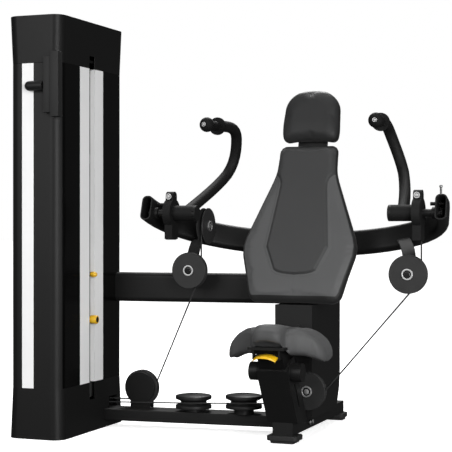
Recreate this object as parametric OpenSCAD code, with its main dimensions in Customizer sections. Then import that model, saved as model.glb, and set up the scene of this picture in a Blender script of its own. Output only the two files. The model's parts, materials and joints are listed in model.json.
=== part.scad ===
// Seated chest machine: weight tower on the left, seat and back on a fin column, two swinging arms.
// +X is the viewer's right, +Y points away from the viewer, +Z is up. The floor is Z = 0 and the
// origin lies under the middle of the front foot, on the seat's plane of symmetry. The modules are
// drawn about the column's centre line, and placed() carries them to that origin.

/* [Tower] */
// Width of the tower across X
tower_w = 224; // [200:1:260]
// Depth of the tower along Y
tower_d = 560; // [520:1:620]
// Height of the tower
tower_h = 1630; // [1500:1:1800]
// Distance from the seat's centre plane to the tower's near side
tower_gap = 810; // [780:1:900]
// Distance from the column's centre line forward to the tower's front
tower_front = 570; // [540:1:600]
// Radius of the tower's upright corners
tower_corner = 45; // [25:1:50]
// Wall of the shrouds and caps
shroud_t = 4; // [3:0.5:6]
// Height of the top cap
cap_h = 184; // [160:1:220]
// Height of the base cap
base_h = 195; // [170:1:220]
// How far each cap flares out at its free end
cap_flare = 6; // [2:1:10]
// Width of the open slot for the selector pin
slot_w = 46; // [36:1:60]
// Width of the light strip in front of the slot
strip_front_w = 82; // [60:1:100]
// Width of the light strip behind the slot
strip_rear_w = 76; // [60:1:100]
// Width of the light strip on the front face
front_strip_w = 50; // [30:1:70]

/* [Weight stack] */
// Width of a weight plate across X
plate_w = 176; // [150:1:184]
// Depth of a weight plate along Y
plate_d = 280; // [260:1:290]
// Height step from one plate to the next
plate_pitch = 30; // [24:1:34]
// Plates left resting below the selector pin
plates_resting = 10; // [6:1:11]
// Plates lifted above the selector pin
plates_lifted = 6; // [3:1:7]
// Diameter of the guide rods
rod_d = 25; // [20:1:30]
// Distance between the guide rods
rod_spacing = 220; // [180:1:240]
// Diameter of the stem that the pin locks into
stem_d = 34; // [28:1:40]
// Diameter of the selector pin
pin_d = 10; // [8:0.5:12]

/* [Frame] */
// Width of the base rail
rail_w = 80; // [60:1:100]
// Height of the base rail's section
rail_h = 48; // [40:1:60]
// Length of the rail in front of the column's centre line
rail_front = 322; // [300:1:340]
// Length of the rail behind the column's centre line
rail_rear = 372; // [340:1:420]
// Height of the rubber feet under the rail
foot_h = 30; // [20:1:40]
// Width of the column across X
column_w = 150; // [120:1:170]
// Distance from the column's centre line to its front face
column_front = 190; // [170:1:195]
// Distance from the column's centre line to its rear face
column_rear = 195; // [160:1:220]
// Height of the column's top
column_top = 1040; // [960:1:1080]
// Height of the tie tube's section
tie_h = 120; // [80:1:130]
// Thickness of the tie tube's section
tie_w = 52; // [40:1:60]
// Height of the tie tube's centre line
tie_z = 566; // [540:1:600]
// Height of the bow beam's section
bow_h = 100; // [80:1:110]
// Thickness of the bow beam's section
bow_w = 45; // [40:1:50]

/* [Arms] */
// Distance from the centre plane to an arm pivot's sleeve centre
pivot_x = 440; // [430:1:450]
// Distance forward from the column's centre line to the arm pivots
pivot_front = 224; // [215:1:235]
// Height of the arm pivots
pivot_z = 869; // [855:1:880]
// Diameter of the arm axles
axle_d = 30; // [24:1:34]
// Outside diameter of the arm sleeves
sleeve_d = 62; // [54:1:68]
// Length of the arm sleeves
sleeve_l = 84; // [70:1:90]
// Diameter of the arm tube
arm_d = 45; // [38:1:48]
// Diameter of the hand flange
flange_d = 70; // [60:1:80]
// Diameter of the rubber grip
grip_d = 37; // [32:1:40]
// Length of the rubber grip
grip_l = 92; // [85:1:110]
// Diameter of the ball at the grip's end
ball_d = 58; // [50:1:62]

/* [Pulleys and cables] */
// Outside diameter of the cable pulleys
pulley_d = 145; // [136:1:150]
// Width of the cable pulleys
pulley_w = 28; // [20:1:30]
// Width of the flat pulleys by the floor
flat_pulley_w = 50; // [40:1:54]
// Radius at which a cable lies in the groove of a cable pulley
groove_r = 50; // [46:1:54]
// Outside diameter of the small pulleys inside the tower
small_pulley_d = 100; // [90:1:104]
// Diameter of the pulley axles
pulley_axle_d = 16; // [12:1:20]
// Diameter of the cables
cable_d = 6; // [4:0.5:7]
// Height of the left cable's run into the tower
left_run_z = 105; // [100:1:110]
// Height of the right cable's run where it enters the tower
right_run_z = 92; // [90:1:96]
// Height of the column pulley's axle
column_pulley_z = 187; // [180:1:195]
// Height of the hanging pulleys' axles
hang_z = 640; // [630:1:660]

/* [Seat and back] */
// Lean of the seat post towards the front, in degrees
seat_lean = 32; // [28:1:34]
// Width of the seat post
post_w = 120; // [100:1:130]
// Depth of the seat post
post_d = 100; // [90:1:106]
// Wall of the seat post
post_wall = 10; // [6:1:14]
// Length of the seat post along its lean
post_l = 277; // [260:1:285]
// Half width of the seat at its side lobes
seat_half = 195; // [170:1:210]
// Length of the seat from nose to rear
seat_l = 325; // [300:1:340]
// Thickness of the seat cushion
seat_t = 72; // [60:1:85]
// Thickness of the seat pad at the rear
seat_rear_t = 50; // [40:1:60]
// How far the seat's side lobes hang below its middle
seat_drop = 62; // [40:1:66]
// Height of the seat plate's top
seat_z = 378; // [376:1:384]
// Recline of the backrest, in degrees
recline = 15; // [10:1:18]
// Height of the backrest cushion along its recline
back_l = 640; // [600:1:650]
// How far the backrest pad hangs below its plate's foot
back_lip = 16; // [0:1:18]
// Half width of the backrest at its widest
back_half = 234; // [210:1:240]
// Thickness of the backrest's side cushion
back_t = 105; // [95:1:112]
// Thickness of the backrest pad at the top
back_top_t = 50; // [44:1:56]
// Thickness of the centre panel above the side cushion
centre_t = 11; // [8:1:20]
// Height of the headrest along its recline
head_l = 214; // [190:1:220]
// Half width of the headrest
head_half = 118; // [100:1:122]
// Thickness of the headrest
head_t = 72; // [60:1:80]
// Gap between the backrest and the headrest
head_gap = 14; // [10:1:24]

/* [Clearances] */
// Radial clearance of a running fit
run_clear = 0.05; // [0.02:0.01:0.1]
// Gap between a moving piece and its neighbour
side_gap = 0.4; // [0.3:0.05:0.6]
// Radial clearance of the plates round rods and stem
plate_clear = 0.6; // [0.4:0.1:1]
// Sliding clearance of the seat slide in its post
slide_clear = 0.6; // [0.4:0.1:1]

/* [Hidden] */
$fn = 64;

// Tower outline and stack places
tower_x = -tower_gap - tower_w / 2;
tower_y = -tower_front + tower_d / 2;
slot_y = tower_y - 10;
panel_z0 = base_h;
panel_z1 = tower_h - cap_h;
stack_z = 130;
base_plate_z = 12;
base_plate_t = 16;
top_plate_t = 30;
pin_z = stack_z + plates_resting * plate_pitch + plate_pitch / 2;
stack_top = stack_z + (plates_resting + plates_lifted) * plate_pitch;
plate_lid = stack_top + top_plate_t;
crown_z = panel_z1 + 24;
crown_t = 10;

// Arm and pulley places
pivot_y = -pivot_front;
small_groove_r = small_pulley_d / 2 - 6.5;
hang_left_y = -143;
hang_left_x = -452;
hang_right_x = 455;
hang_right_y = pivot_y + 20;
sheave_x = hang_left_x + groove_r;
sheave_z = 818;
sheave_y = hang_left_y + groove_r;
column_pulley_x = 64;
column_pulley_y = -column_front - pulley_w / 2 - 4;
run_gap = 17;
run_apart = 9;
right_run_y = slot_y + plate_d / 2 + pulley_w / 2 + run_gap;
left_run_y = right_run_y + pulley_w + run_apart;
beam_y = left_run_y - 18;
flat_y = beam_y - 22;
flat_left_x = -440;
flat_right_x = -225;
base_pulley_x = -685;
base_pulley_z = left_run_z + groove_r;
lower_pulley_x = tower_x + small_groove_r;
left_lower_z = left_run_z + small_groove_r;
right_lower_z = right_run_z + small_groove_r;
// Height of the right cable where it passes a flat pulley, on its rise to the column
run_rise = (column_pulley_z - groove_r - right_run_z) / (column_pulley_x - lower_pulley_x);
function run_z(x) = right_run_z + run_rise * (x - lower_pulley_x);
yoke_y = (left_run_y + right_run_y) / 2;
yoke_z = 1080;
yoke_h = 34;
top_pulley_z = crown_z + crown_t + small_pulley_d / 2 + 18;
rear_top_y = yoke_y - small_groove_r;
front_top_y = slot_y + small_groove_r;
pulley_side = pulley_w / 2 + side_gap;

// Frame places
rail_top = foot_h + rail_h;
beam_w = 110;
post_y = -262;
back_z0 = 515;
back_y0 = -100;
back_plate_t = 8;

// Carries a piece from the column's centre line to the origin under the front foot
foot_back = 28;
module placed() {
  translate([0, rail_front - foot_back, 0])
    children();
}

// A rounded rectangle centred on the origin
module rounded_rect(w, d, r) {
  square([w - 2 * r, d], center = true);
  square([w, d - 2 * r], center = true);
  for (x = [-1, 1])
    for (y = [-1, 1])
      translate([x * (w / 2 - r), y * (d / 2 - r)])
        circle(r);
}

// A box given by its low and high corners
module span_box(low, high) {
  translate(low)
    cube(high - low);
}

// A cylinder along X between two X values
module x_rod(r, x0, x1, y, z) {
  translate([min(x0, x1), y, z])
    rotate([0, 90, 0])
      cylinder(r = r, h = abs(x1 - x0));
}

// A cylinder along Y between two Y values
module y_rod(r, y0, y1, x, z) {
  translate([x, max(y0, y1), z])
    rotate([90, 0, 0])
      cylinder(r = r, h = abs(y1 - y0));
}

// Sweeps along a path
function unit(v) = v / norm(v);
function along(p, i) = unit(p[min(i + 1, len(p) - 1)] - p[max(i - 1, 0)]);
function square_to(v, t) = unit(v - (v * t) * t);
function normals(p, n, i = 0) =
  i >= len(p) ? [] : let (m = square_to(n, along(p, i))) concat([m], normals(p, m, i + 1));
function bezier(a, b, c, d, t) =
  pow(1 - t, 3) * a + 3 * t * pow(1 - t, 2) * b + 3 * t * t * (1 - t) * c + pow(t, 3) * d;
function bezier_path(a, b, c, d, n) = [for (i = [0:n]) bezier(a, b, c, d, i / n)];
function reversed(p) = [for (i = [len(p) - 1:-1:0]) p[i]];
function circle_section(d, sides) =
  [for (k = [0:sides - 1]) d / 2 * [cos(360 * k / sides), sin(360 * k / sides)]];
function rounded_section(w, h, r, n) = [
  for (q = [0:3])
    for (k = [0:n])
      let (a = 90 * q + 90 * k / n)
        [(q == 0 || q == 3 ? 1 : -1) * (w / 2 - r) + r * cos(a),
         (q < 2 ? 1 : -1) * (h / 2 - r) + r * sin(a)]
];

// A closed tube of one section; n0 is the section's second axis at the start
module sweep(path, section, n0) {
  m = len(section);
  ups = normals(path, n0);
  points = [
    for (i = [0:len(path) - 1])
      for (s = section)
        path[i] + s[0] * cross(ups[i], along(path, i)) + s[1] * ups[i]
  ];
  walls = [
    for (i = [0:len(path) - 2])
      for (k = [0:m - 1])
        for (f = [[0, 1, 2], [0, 2, 3]])
          let (q = [i * m + k, i * m + (k + 1) % m, (i + 1) * m + (k + 1) % m, (i + 1) * m + k])
            [q[f[2]], q[f[1]], q[f[0]]]
  ];
  near_end = [[for (k = [0:m - 1]) k]];
  far_end = [[for (k = [m - 1:-1:0]) (len(path) - 1) * m + k]];
  polyhedron(points, concat(walls, near_end, far_end), convexity = 6);
}

// A crowned cushion with drawn-in edges. The outline is a table of half widths over the length,
// with round corners of [low end, high end] radius, and rings give [share of the outline, height].
// The sides hang by sag [drop, flat half width, half width], and the far end has a share of the thickness.
function round_off(e, r) = r - sqrt(r * r - pow(r - min(e, r), 2));
function corner_cut(s, length, r) = round_off(s, r[0]) + round_off(length - s, r[1]);
function hang(x, sag) = sag[0] * pow(max(0, abs(x) - sag[1]) / (sag[2] - sag[1]), 2);
function thinned(s, length, rear) = 1 - (1 - rear) * s / length;
function cushion_side(length, widths, r, n) = [
  for (i = [0:n - 1])
    let (s = length * (1 - cos(180 * i / (n - 1))) / 2)
      [lookup(s, widths) - corner_cut(s, length, r), s]
];
function cushion_outline(length, widths, r, n) =
  let (right = cushion_side(length, widths, r, n))
    concat(right, [for (p = reversed(right)) [-p[0], p[1]]]);
module cushion(length, widths, rings, corner_r, sag = [0, 0, 1], rear = 1) {
  outline = cushion_outline(length, widths, corner_r, 26);
  n = len(outline);
  middle = [0, length / 2];
  last = len(rings) - 1;
  points = concat(
    [for (g = rings)
      for (p = outline)
        let (q = middle + g[0] * (p - middle))
          [q[0], q[1], g[1] * thinned(q[1], length, rear) - hang(q[0], sag)]],
    [for (g = [rings[0], rings[last]]) [0, length / 2, g[1] * thinned(length / 2, length, rear)]]
  );
  walls = [
    for (i = [0:last - 1])
      for (k = [0:n - 1])
        for (f = [[0, 1, 2], [0, 2, 3]])
          let (q = [i * n + k, i * n + (k + 1) % n, (i + 1) * n + (k + 1) % n, (i + 1) * n + k])
            [q[f[2]], q[f[1]], q[f[0]]]
  ];
  under = [for (k = [0:n - 1]) [(last + 1) * n, k, (k + 1) % n]];
  over = [for (k = [0:n - 1]) [(last + 1) * n + 1, last * n + (k + 1) % n, last * n + k]];
  polyhedron(points, concat(walls, under, over), convexity = 6);
}

// A pulley about the Z axis, with a groove that opens from the cable out to thin rims
module pulley(d, w, lie_r) {
  r = d / 2;
  bore_d = pulley_axle_d;
  floor_r = lie_r - cable_d / 2 - side_gap;
  half_floor = cable_d / 2 + side_gap;
  half_mouth = w / 2 - 0.18 * w;
  rotate_extrude()
    polygon([
      [bore_d / 2 + run_clear, -w / 2], [r - 2, -w / 2], [r, -w / 2 + 2], [r, -half_mouth],
      [floor_r, -half_floor], [floor_r, half_floor], [r, half_mouth], [r, w / 2 - 2],
      [r - 2, w / 2], [bore_d / 2 + run_clear, w / 2]
    ]);
}

// The same pulley about an axle along Y, at a place
module pulley_y(d, lie_r, place) {
  translate(place)
    rotate([90, 0, 0])
      pulley(d, pulley_w, lie_r);
}

// The same pulley about an axle along X, at a place
module pulley_x(d, lie_r, place) {
  translate(place)
    rotate([0, 90, 0])
      pulley(d, pulley_w, lie_r);
}

// Frame on the floor
module base_rail() {
  color("#1c1d1e")
    span_box([-rail_w / 2, -rail_front, foot_h], [rail_w / 2, rail_rear, rail_top]);
  color("#8c8c88")
    for (y = [-120, -88])
      x_rod(8, rail_w / 2, rail_w / 2 + 6, y, foot_h + rail_h / 2);
}

beam_z0 = base_plate_z + base_plate_t;
beam_z1 = beam_z0 + 46;
beam_tower_x = -tower_gap - 48;
beam_skew = 70;
module floor_beam() {
  color("#1c1d1e")
    translate([0, 0, beam_z0])
      linear_extrude(beam_z1 - beam_z0)
        polygon([
          [beam_tower_x, beam_y - (beam_w + beam_skew) / 2],
          [-rail_w / 2, beam_y - (beam_w - beam_skew) / 2],
          [-rail_w / 2, beam_y + (beam_w + beam_skew) / 2],
          [beam_tower_x, beam_y + (beam_w - beam_skew) / 2]
        ]);
}

module front_foot() {
  color("#262728") {
    translate([0, -rail_front + foot_back, 0])
      linear_extrude(foot_h / 3)
        rounded_rect(rail_w + 16, 78, 12);
    translate([0, -rail_front + foot_back, foot_h / 3])
      linear_extrude(foot_h * 2 / 3)
        rounded_rect(rail_w + 42, 88, 16);
  }
}

module rear_foot() {
  color("#262728") {
    translate([0, rail_rear - 20, 0])
      linear_extrude(foot_h / 3)
        rounded_rect(rail_w + 16, 62, 12);
    translate([0, rail_rear - 20, foot_h / 3])
      linear_extrude(foot_h * 2 / 3)
        rounded_rect(rail_w + 30, 72, 16);
  }
}

function back_plane(z) = back_y0 + (z - back_z0) * tan(recline);

module main_column() {
  step_z = back_z0 - back_lip - 4;
  knob_z = 426;
  color("#202122") {
    translate([-column_w / 2, 0, 0])
      rotate([90, 0, 90])
        linear_extrude(column_w)
          polygon([
            [-column_front, rail_top], [-column_front, step_z], [back_plane(step_z), step_z],
            [back_plane(column_top), column_top], [back_plane(column_top) + 70, column_top],
            [column_rear, tie_z + 60], [column_rear, 220], [column_rear - 10, 160],
            [column_rear - 34, 110], [column_rear - 60, rail_top]
          ]);
    y_rod(13, -column_front, -column_front - 8, 20, knob_z);
    y_rod(8, -column_front - 8, -column_front - 14, 20, knob_z);
  }
}

module tie_tube() {
  start = [-tower_gap, -60, tie_z];
  finish = [-column_w / 2, 10, tie_z];
  reach = [240, 0, 0];
  stub = [2, 0, 0];
  bend = bezier_path(start + stub, start + reach, finish - reach, finish - stub, 18);
  color("#232425")
    sweep(
      concat([start], bend, [finish]),
      rounded_section(tie_w, tie_h, 20, 4), [0, 0, 1]
    );
}

bow_half = bezier_path([0, 60, 745], [300, 60, 745], [600, 20, 800], [590, -pivot_front - 38, 892], 16);
bow_end_x = 590;
module bow_beam() {
  mirrored = [for (p = reversed(bow_half)) [-p[0], p[1], p[2]]];
  path = concat(mirrored, [for (i = [1:len(bow_half) - 1]) bow_half[i]]);
  color("#1b1c1d")
    sweep(path, rounded_section(bow_w, bow_h, 18, 4), [0, 0.35, 0.9]);
}

// Tower
module tower_ring() {
  translate([tower_x, tower_y])
    difference() {
      rounded_rect(tower_w, tower_d, tower_corner);
      rounded_rect(tower_w - 2 * shroud_t, tower_d - 2 * shroud_t, tower_corner - shroud_t);
    }
}

// The part of the tower's wall inside a rectangle, from base cap to top cap
module tower_panel(x0, x1, y0, y1) {
  translate([0, 0, panel_z0])
    linear_extrude(panel_z1 - panel_z0)
      intersection() {
        tower_ring();
        translate([x0, y0])
          square([x1 - x0, y1 - y0]);
      }
}

far_x = tower_x - tower_w / 2;
near_x = -tower_gap;
tower_y0 = -tower_front;
tower_y1 = tower_y0 + tower_d;
strip_x0 = far_x + 59;
strip_x1 = strip_x0 + front_strip_w;
strip_y0 = slot_y - slot_w / 2 - strip_front_w;
strip_y1 = slot_y + slot_w / 2 + strip_rear_w;

module front_shroud() {
  color("#1d1e1f")
    tower_panel(strip_x1, near_x, tower_y0, strip_y0);
}

module rear_shroud() {
  color("#1d1e1f")
    tower_panel(strip_x0, near_x, strip_y1, tower_y1);
}

module outer_shroud() {
  color("#1d1e1f")
    tower_panel(far_x, strip_x0, tower_y0, tower_y1);
}

module front_light_panel() {
  color("#d9d9d6")
    tower_panel(strip_x0, strip_x1, tower_y0, tower_y);
}

module side_light_panels() {
  jamb_t = 3;
  jamb_d = 20;
  color("#d9d9d6") {
    tower_panel(tower_x, near_x, strip_y0, slot_y - slot_w / 2);
    tower_panel(tower_x, near_x, slot_y + slot_w / 2, strip_y1);
    for (y = [slot_y - slot_w / 2 - jamb_t, slot_y + slot_w / 2])
      span_box([near_x - jamb_d, y, panel_z0], [near_x - shroud_t / 2, y + jamb_t, panel_z1]);
  }
}

module tower_inside(z0, z1) {
  translate([tower_x, tower_y, z0])
    linear_extrude(z1 - z0)
      rounded_rect(tower_w - 2 * shroud_t, tower_d - 2 * shroud_t, tower_corner - shroud_t);
}

module slot_cut(z0, z1) {
  span_box([near_x - 20, slot_y - slot_w / 2, z0], [near_x + 20, slot_y + slot_w / 2, z1]);
}

// A straight-sided block that flares from one rounded outline to another
module flared_block(low, high, r, h) {
  corner_steps = 6;
  outlines = [
    for (o = [[low, 0], [high, h]])
      [for (p = rounded_section(o[0][0], o[0][1], r, corner_steps)) [p[0], p[1], o[1]]]
  ];
  m = len(outlines[0]);
  walls = [
    for (k = [0:m - 1])
      for (f = [[k, k + m, (k + 1) % m], [(k + 1) % m, k + m, (k + 1) % m + m]])
        f
  ];
  polyhedron(
    concat(outlines[0], outlines[1]),
    concat(walls, [[for (k = [0:m - 1]) k]], [[for (k = [2 * m - 1:-1:m]) k]]), convexity = 4
  );
}

module top_cap() {
  notch = 50;
  color("#191a1b")
    difference() {
      translate([tower_x, tower_y, panel_z1])
        flared_block(
          [tower_w, tower_d], [tower_w + 2 * cap_flare, tower_d + 2 * cap_flare], tower_corner, cap_h
        );
      tower_inside(panel_z1 - 1, tower_h - 3 * shroud_t);
      slot_cut(panel_z1 - 1, panel_z1 + notch);
    }
}

module base_cap() {
  notch = 70;
  floor_gap = 1;
  color("#191a1b")
    difference() {
      translate([tower_x, tower_y, 0])
        flared_block(
          [tower_w + 2 * cap_flare, tower_d + 2 * cap_flare], [tower_w, tower_d], tower_corner, base_h
        );
      tower_inside(base_plate_z, base_h + 1);
      slot_cut(base_h - notch, base_h + 1);
      span_box(
        [near_x - 30, beam_y - (beam_w + beam_skew) / 2 - floor_gap, beam_z0 - floor_gap],
        [near_x + 30, beam_y + beam_w / 2 - beam_skew / 3, beam_z1 + floor_gap]
      );
      span_box([near_x - 30, right_run_y - 22, beam_z1], [near_x + 30, left_run_y + 14, left_run_z + 14]);
    }
}

module tower_frame() {
  inset = shroud_t + 0.5;
  post = 26;
  color("#2a2b2c")
    difference() {
      union() {
        for (z = [base_plate_z, crown_z])
          translate([tower_x, tower_y, z])
            linear_extrude(z == crown_z ? crown_t : base_plate_t)
              rounded_rect(tower_w - 2 * inset, tower_d - 2 * inset, tower_corner - inset);
        for (x = [-1, 1])
          for (y = [-1, 1])
            translate([tower_x + x * (tower_w / 2 - 32), tower_y + y * (tower_d / 2 - 30), base_plate_z])
              linear_extrude(crown_z - base_plate_z + 1)
                square(post, center = true);
      }
      for (y = [slot_y, yoke_y])
        translate([tower_x, y, crown_z - 1])
          cylinder(r = 12, h = crown_t + 2);
    }
}

module accessory_box() {
  x0 = near_x - 61;
  x1 = near_x + 10;
  z1 = panel_z1 + 38;
  back = tower_y0 - cap_flare * (z1 - panel_z1) / cap_h - side_gap;
  color("#1d1e1f") {
    span_box([x0, tower_y0 - 22, z1 - 248], [x1, back, z1]);
    span_box([x0 + 12, tower_y0 - 36, z1 - 222], [x1 - 8, tower_y0 - 22, z1 - 44]);
  }
}

module accessory_peg() {
  x1 = near_x - 61;
  peg_r = 19;
  peg_l = 60;
  y = tower_y0 - peg_r - side_gap;
  z = panel_z1 - 90;
  color("#151617") {
    x_rod(peg_r, x1 - peg_l, x1, y, z);
    translate([x1 - peg_l, y, z])
      sphere(peg_r);
  }
}

// Weight stack
module rod_places() {
  for (s = [-1, 1])
    translate([tower_x, slot_y + s * rod_spacing / 2, 0])
      children();
}

module guide_rods() {
  color("#b9bcbf")
    rod_places()
      translate([0, 0, base_plate_z + base_plate_t])
        cylinder(d = rod_d, h = crown_z - base_plate_z - base_plate_t);
}

module stack_cushions() {
  color("#202020")
    rod_places()
      translate([0, 0, base_plate_z + base_plate_t])
        difference() {
          cylinder(d = rod_d + 46, h = stack_z - base_plate_z - base_plate_t);
          translate([0, 0, -1])
            cylinder(d = rod_d + 2 * plate_clear, h = stack_z);
        }
}

// One weight plate on its own level, with its pin hole from the slot side
module weight_plate(level) {
  z = stack_z + level * plate_pitch;
  difference() {
    translate([tower_x, slot_y, z])
      linear_extrude(plate_pitch - side_gap)
        rounded_rect(plate_w, plate_d, 12);
    rod_places()
      translate([0, 0, z - 1])
        cylinder(d = rod_d + 2 * plate_clear, h = plate_pitch + 2);
    translate([tower_x, slot_y, z - 1])
      cylinder(d = stem_d + 2 * plate_clear, h = plate_pitch + 2);
    x_rod(pin_d / 2 + run_clear, tower_x, tower_x + plate_w, slot_y, z + plate_pitch / 2);
  }
}

module resting_plates() {
  color("#3a3b3c")
    for (i = [0:plates_resting - 1])
      weight_plate(i);
}

module lifted_plates() {
  color("#3a3b3c")
    for (i = [0:plates_lifted - 1])
      weight_plate(plates_resting + i);
}

module top_plate() {
  color("#2f3031")
    difference() {
      union() {
        translate([tower_x, slot_y, stack_top])
          linear_extrude(top_plate_t)
            rounded_rect(plate_w, plate_d, 12);
        translate([tower_x, slot_y, stack_z])
          cylinder(d = stem_d, h = stack_top - stack_z + 1);
      }
      rod_places()
        translate([0, 0, stack_top - 1])
          cylinder(d = rod_d + 2 * plate_clear, h = top_plate_t + 2);
      x_rod(pin_d / 2 + run_clear, tower_x - stem_d, tower_x + stem_d, slot_y, pin_z);
      x_rod(pin_d / 2 + run_clear, tower_x + stem_d, tower_x + plate_w, slot_y, stack_top + top_plate_t / 2);
    }
}

// A pull pin in the slot: steel shank, collar and knob
module pull_pin(inner_x, z, knob_d) {
  face = tower_x + plate_w / 2;
  color("#5a5c5e")
    x_rod(pin_d / 2, inner_x, face + 14, slot_y, z);
  color("#2b2b2b")
    x_rod(knob_d / 2 - 3, face + side_gap, face + 12, slot_y, z);
  color("#f2b705")
    x_rod(knob_d / 2, face + 12, face + 44, slot_y, z);
}

module selector_pin() {
  pull_pin(tower_x + 2, pin_z, 32);
}

module add_on_pin() {
  pull_pin(tower_x + stem_d + 12, stack_top + top_plate_t / 2, 20);
}

// Cable system inside the tower
module cable_yoke() {
  color("#4a4c4e")
    span_box(
      [tower_x - 14, right_run_y - 10, yoke_z],
      [tower_x + 14, left_run_y + 10, yoke_z + yoke_h]
    );
}

module top_pulley_frame() {
  z0 = crown_z + crown_t;
  cheek = 6;
  color("#2a2b2c") {
    for (s = [-1, 1])
      translate([tower_x + s * (pulley_side + cheek / 2) - cheek / 2, front_top_y - 30, z0])
        cube([cheek, rear_top_y - front_top_y + 60, top_pulley_z - z0 + 18]);
    for (y = [front_top_y, rear_top_y])
      x_rod(pulley_axle_d / 2, tower_x - pulley_side - cheek, tower_x + pulley_side + cheek, y, top_pulley_z);
  }
}

module rear_top_pulley() {
  color("#3a3b3d")
    pulley_x(small_pulley_d, small_groove_r, [tower_x, rear_top_y, top_pulley_z]);
}

module front_top_pulley() {
  color("#3a3b3d")
    pulley_x(small_pulley_d, small_groove_r, [tower_x, front_top_y, top_pulley_z]);
}

module lower_pulley_axle() {
  y0 = right_run_y - pulley_w / 2 - 12;
  y1 = left_run_y + pulley_w / 2 + 12;
  color("#6a6c6e") {
    y_rod(pulley_axle_d / 2, y0, yoke_y, lower_pulley_x, right_lower_z);
    y_rod(pulley_axle_d / 2, yoke_y, y1, lower_pulley_x, left_lower_z);
    for (p = [[y0, 8, right_lower_z], [yoke_y - 2, 4, left_lower_z], [y1 - 8, 8, left_lower_z]])
      span_box([lower_pulley_x - 12, p[0], beam_z0], [lower_pulley_x + 12, p[0] + p[1], p[2] + 12]);
  }
}

module left_lower_pulley() {
  color("#3a3b3d")
    pulley_y(small_pulley_d, small_groove_r, [lower_pulley_x, left_run_y, left_lower_z]);
}

module right_lower_pulley() {
  color("#3a3b3d")
    pulley_y(small_pulley_d, small_groove_r, [lower_pulley_x, right_run_y, right_lower_z]);
}

// Points round a pulley whose axle runs along Y, X or Z, from one angle to another
arc_steps = 8;
function arc_y(c, r, a0, a1) =
  [for (i = [0:arc_steps]) let (a = a0 + (a1 - a0) * i / arc_steps) c + r * [cos(a), 0, sin(a)]];
function arc_x(c, r, a0, a1) =
  [for (i = [0:arc_steps]) let (a = a0 + (a1 - a0) * i / arc_steps) c + r * [0, cos(a), sin(a)]];
function arc_z(c, r, a0, a1) =
  [for (i = [0:arc_steps]) let (a = a0 + (a1 - a0) * i / arc_steps) c + r * [cos(a), sin(a), 0]];
// Angle of the outer tangent, on the right, from one pulley down to another of the same size
function right_tangent(a, b) = atan2(b[0] - a[0], a[2] - b[2]);

module cable(path) {
  color("#707274")
    sweep(path, circle_section(cable_d, 8), [0.3, 0.5, 0.8]);
}

hang_left = [hang_left_x, hang_left_y, hang_z];
hang_right = [hang_right_x, hang_right_y, hang_z];
sheave_c = [sheave_x, sheave_y, sheave_z];
base_c = [base_pulley_x, left_run_y, base_pulley_z];
column_c = [column_pulley_x, column_pulley_y, column_pulley_z];

module left_cable() {
  lean = right_tangent(hang_left, base_c);
  cable(concat(
    arc_x(sheave_c, groove_r, 60, 180),
    arc_y(hang_left, groove_r, 0, lean),
    arc_y(base_c, groove_r, lean, -90),
    arc_y([lower_pulley_x, left_run_y, left_lower_z], small_groove_r, -90, -180)
  ));
}

lever_low = 105;
module right_cable() {
  lean = right_tangent(hang_right, column_c);
  gone = atan2(column_pulley_y - flat_y + groove_r, column_pulley_x - flat_right_x);
  turn = atan2(right_run_y - flat_y + groove_r, flat_left_x - lower_pulley_x);
  cable(concat(
    [[hang_right_x + groove_r, hang_right_y, pivot_z - lever_low - side_gap]],
    arc_y(hang_right, groove_r, 0, lean),
    arc_y(column_c, groove_r, lean, -90),
    arc_z([flat_right_x, flat_y, run_z(flat_right_x)], groove_r, -90 - gone, -90),
    arc_z([flat_left_x, flat_y, run_z(flat_left_x)], groove_r, -90, -90 - turn),
    arc_y([lower_pulley_x, right_run_y, right_lower_z], small_groove_r, -90, -180)
  ));
}

module yoke_cables() {
  color("#707274") {
    translate([tower_x, left_run_y, left_lower_z])
      cylinder(d = cable_d, h = yoke_z - left_lower_z);
    translate([tower_x, right_run_y, right_lower_z])
      cylinder(d = cable_d, h = yoke_z - right_lower_z);
  }
}

module top_lift_cable() {
  cable(concat(
    arc_x([tower_x, rear_top_y, top_pulley_z], small_groove_r, 0, 90),
    arc_x([tower_x, front_top_y, top_pulley_z], small_groove_r, 90, 180)
  ));
}

module rear_lift_cable() {
  color("#707274")
    translate([tower_x, yoke_y, yoke_z + yoke_h])
      cylinder(d = cable_d, h = top_pulley_z - yoke_z - yoke_h);
}

module front_lift_cable() {
  color("#707274")
    translate([tower_x, slot_y, plate_lid])
      cylinder(d = cable_d, h = top_pulley_z - plate_lid);
}

// Arms, drawn for the right side
module axle() {
  sleeve_in = pivot_x - sleeve_l / 2;
  color("#8d9093")
    x_rod(axle_d / 2, sleeve_in - 1, bow_end_x, pivot_y, pivot_z);
  color("#2b2c2d") {
    x_rod(sleeve_d / 2, sleeve_in - 12, sleeve_in - side_gap, pivot_y, pivot_z);
    x_rod(axle_d / 2 + 8, bow_end_x - bow_w / 2 - 16, bow_end_x - bow_w / 2 + 6, pivot_y, pivot_z);
    x_rod(7, bow_end_x - bow_w / 2 - 28, bow_end_x, pivot_y + 18, pivot_z + 34);
  }
}

flange_at = [333, 88 - pivot_front, 1216];
grip_out = 4;
module grip_frame() {
  translate(flange_at)
    rotate([90, 0, grip_out])
      children();
}

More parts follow.
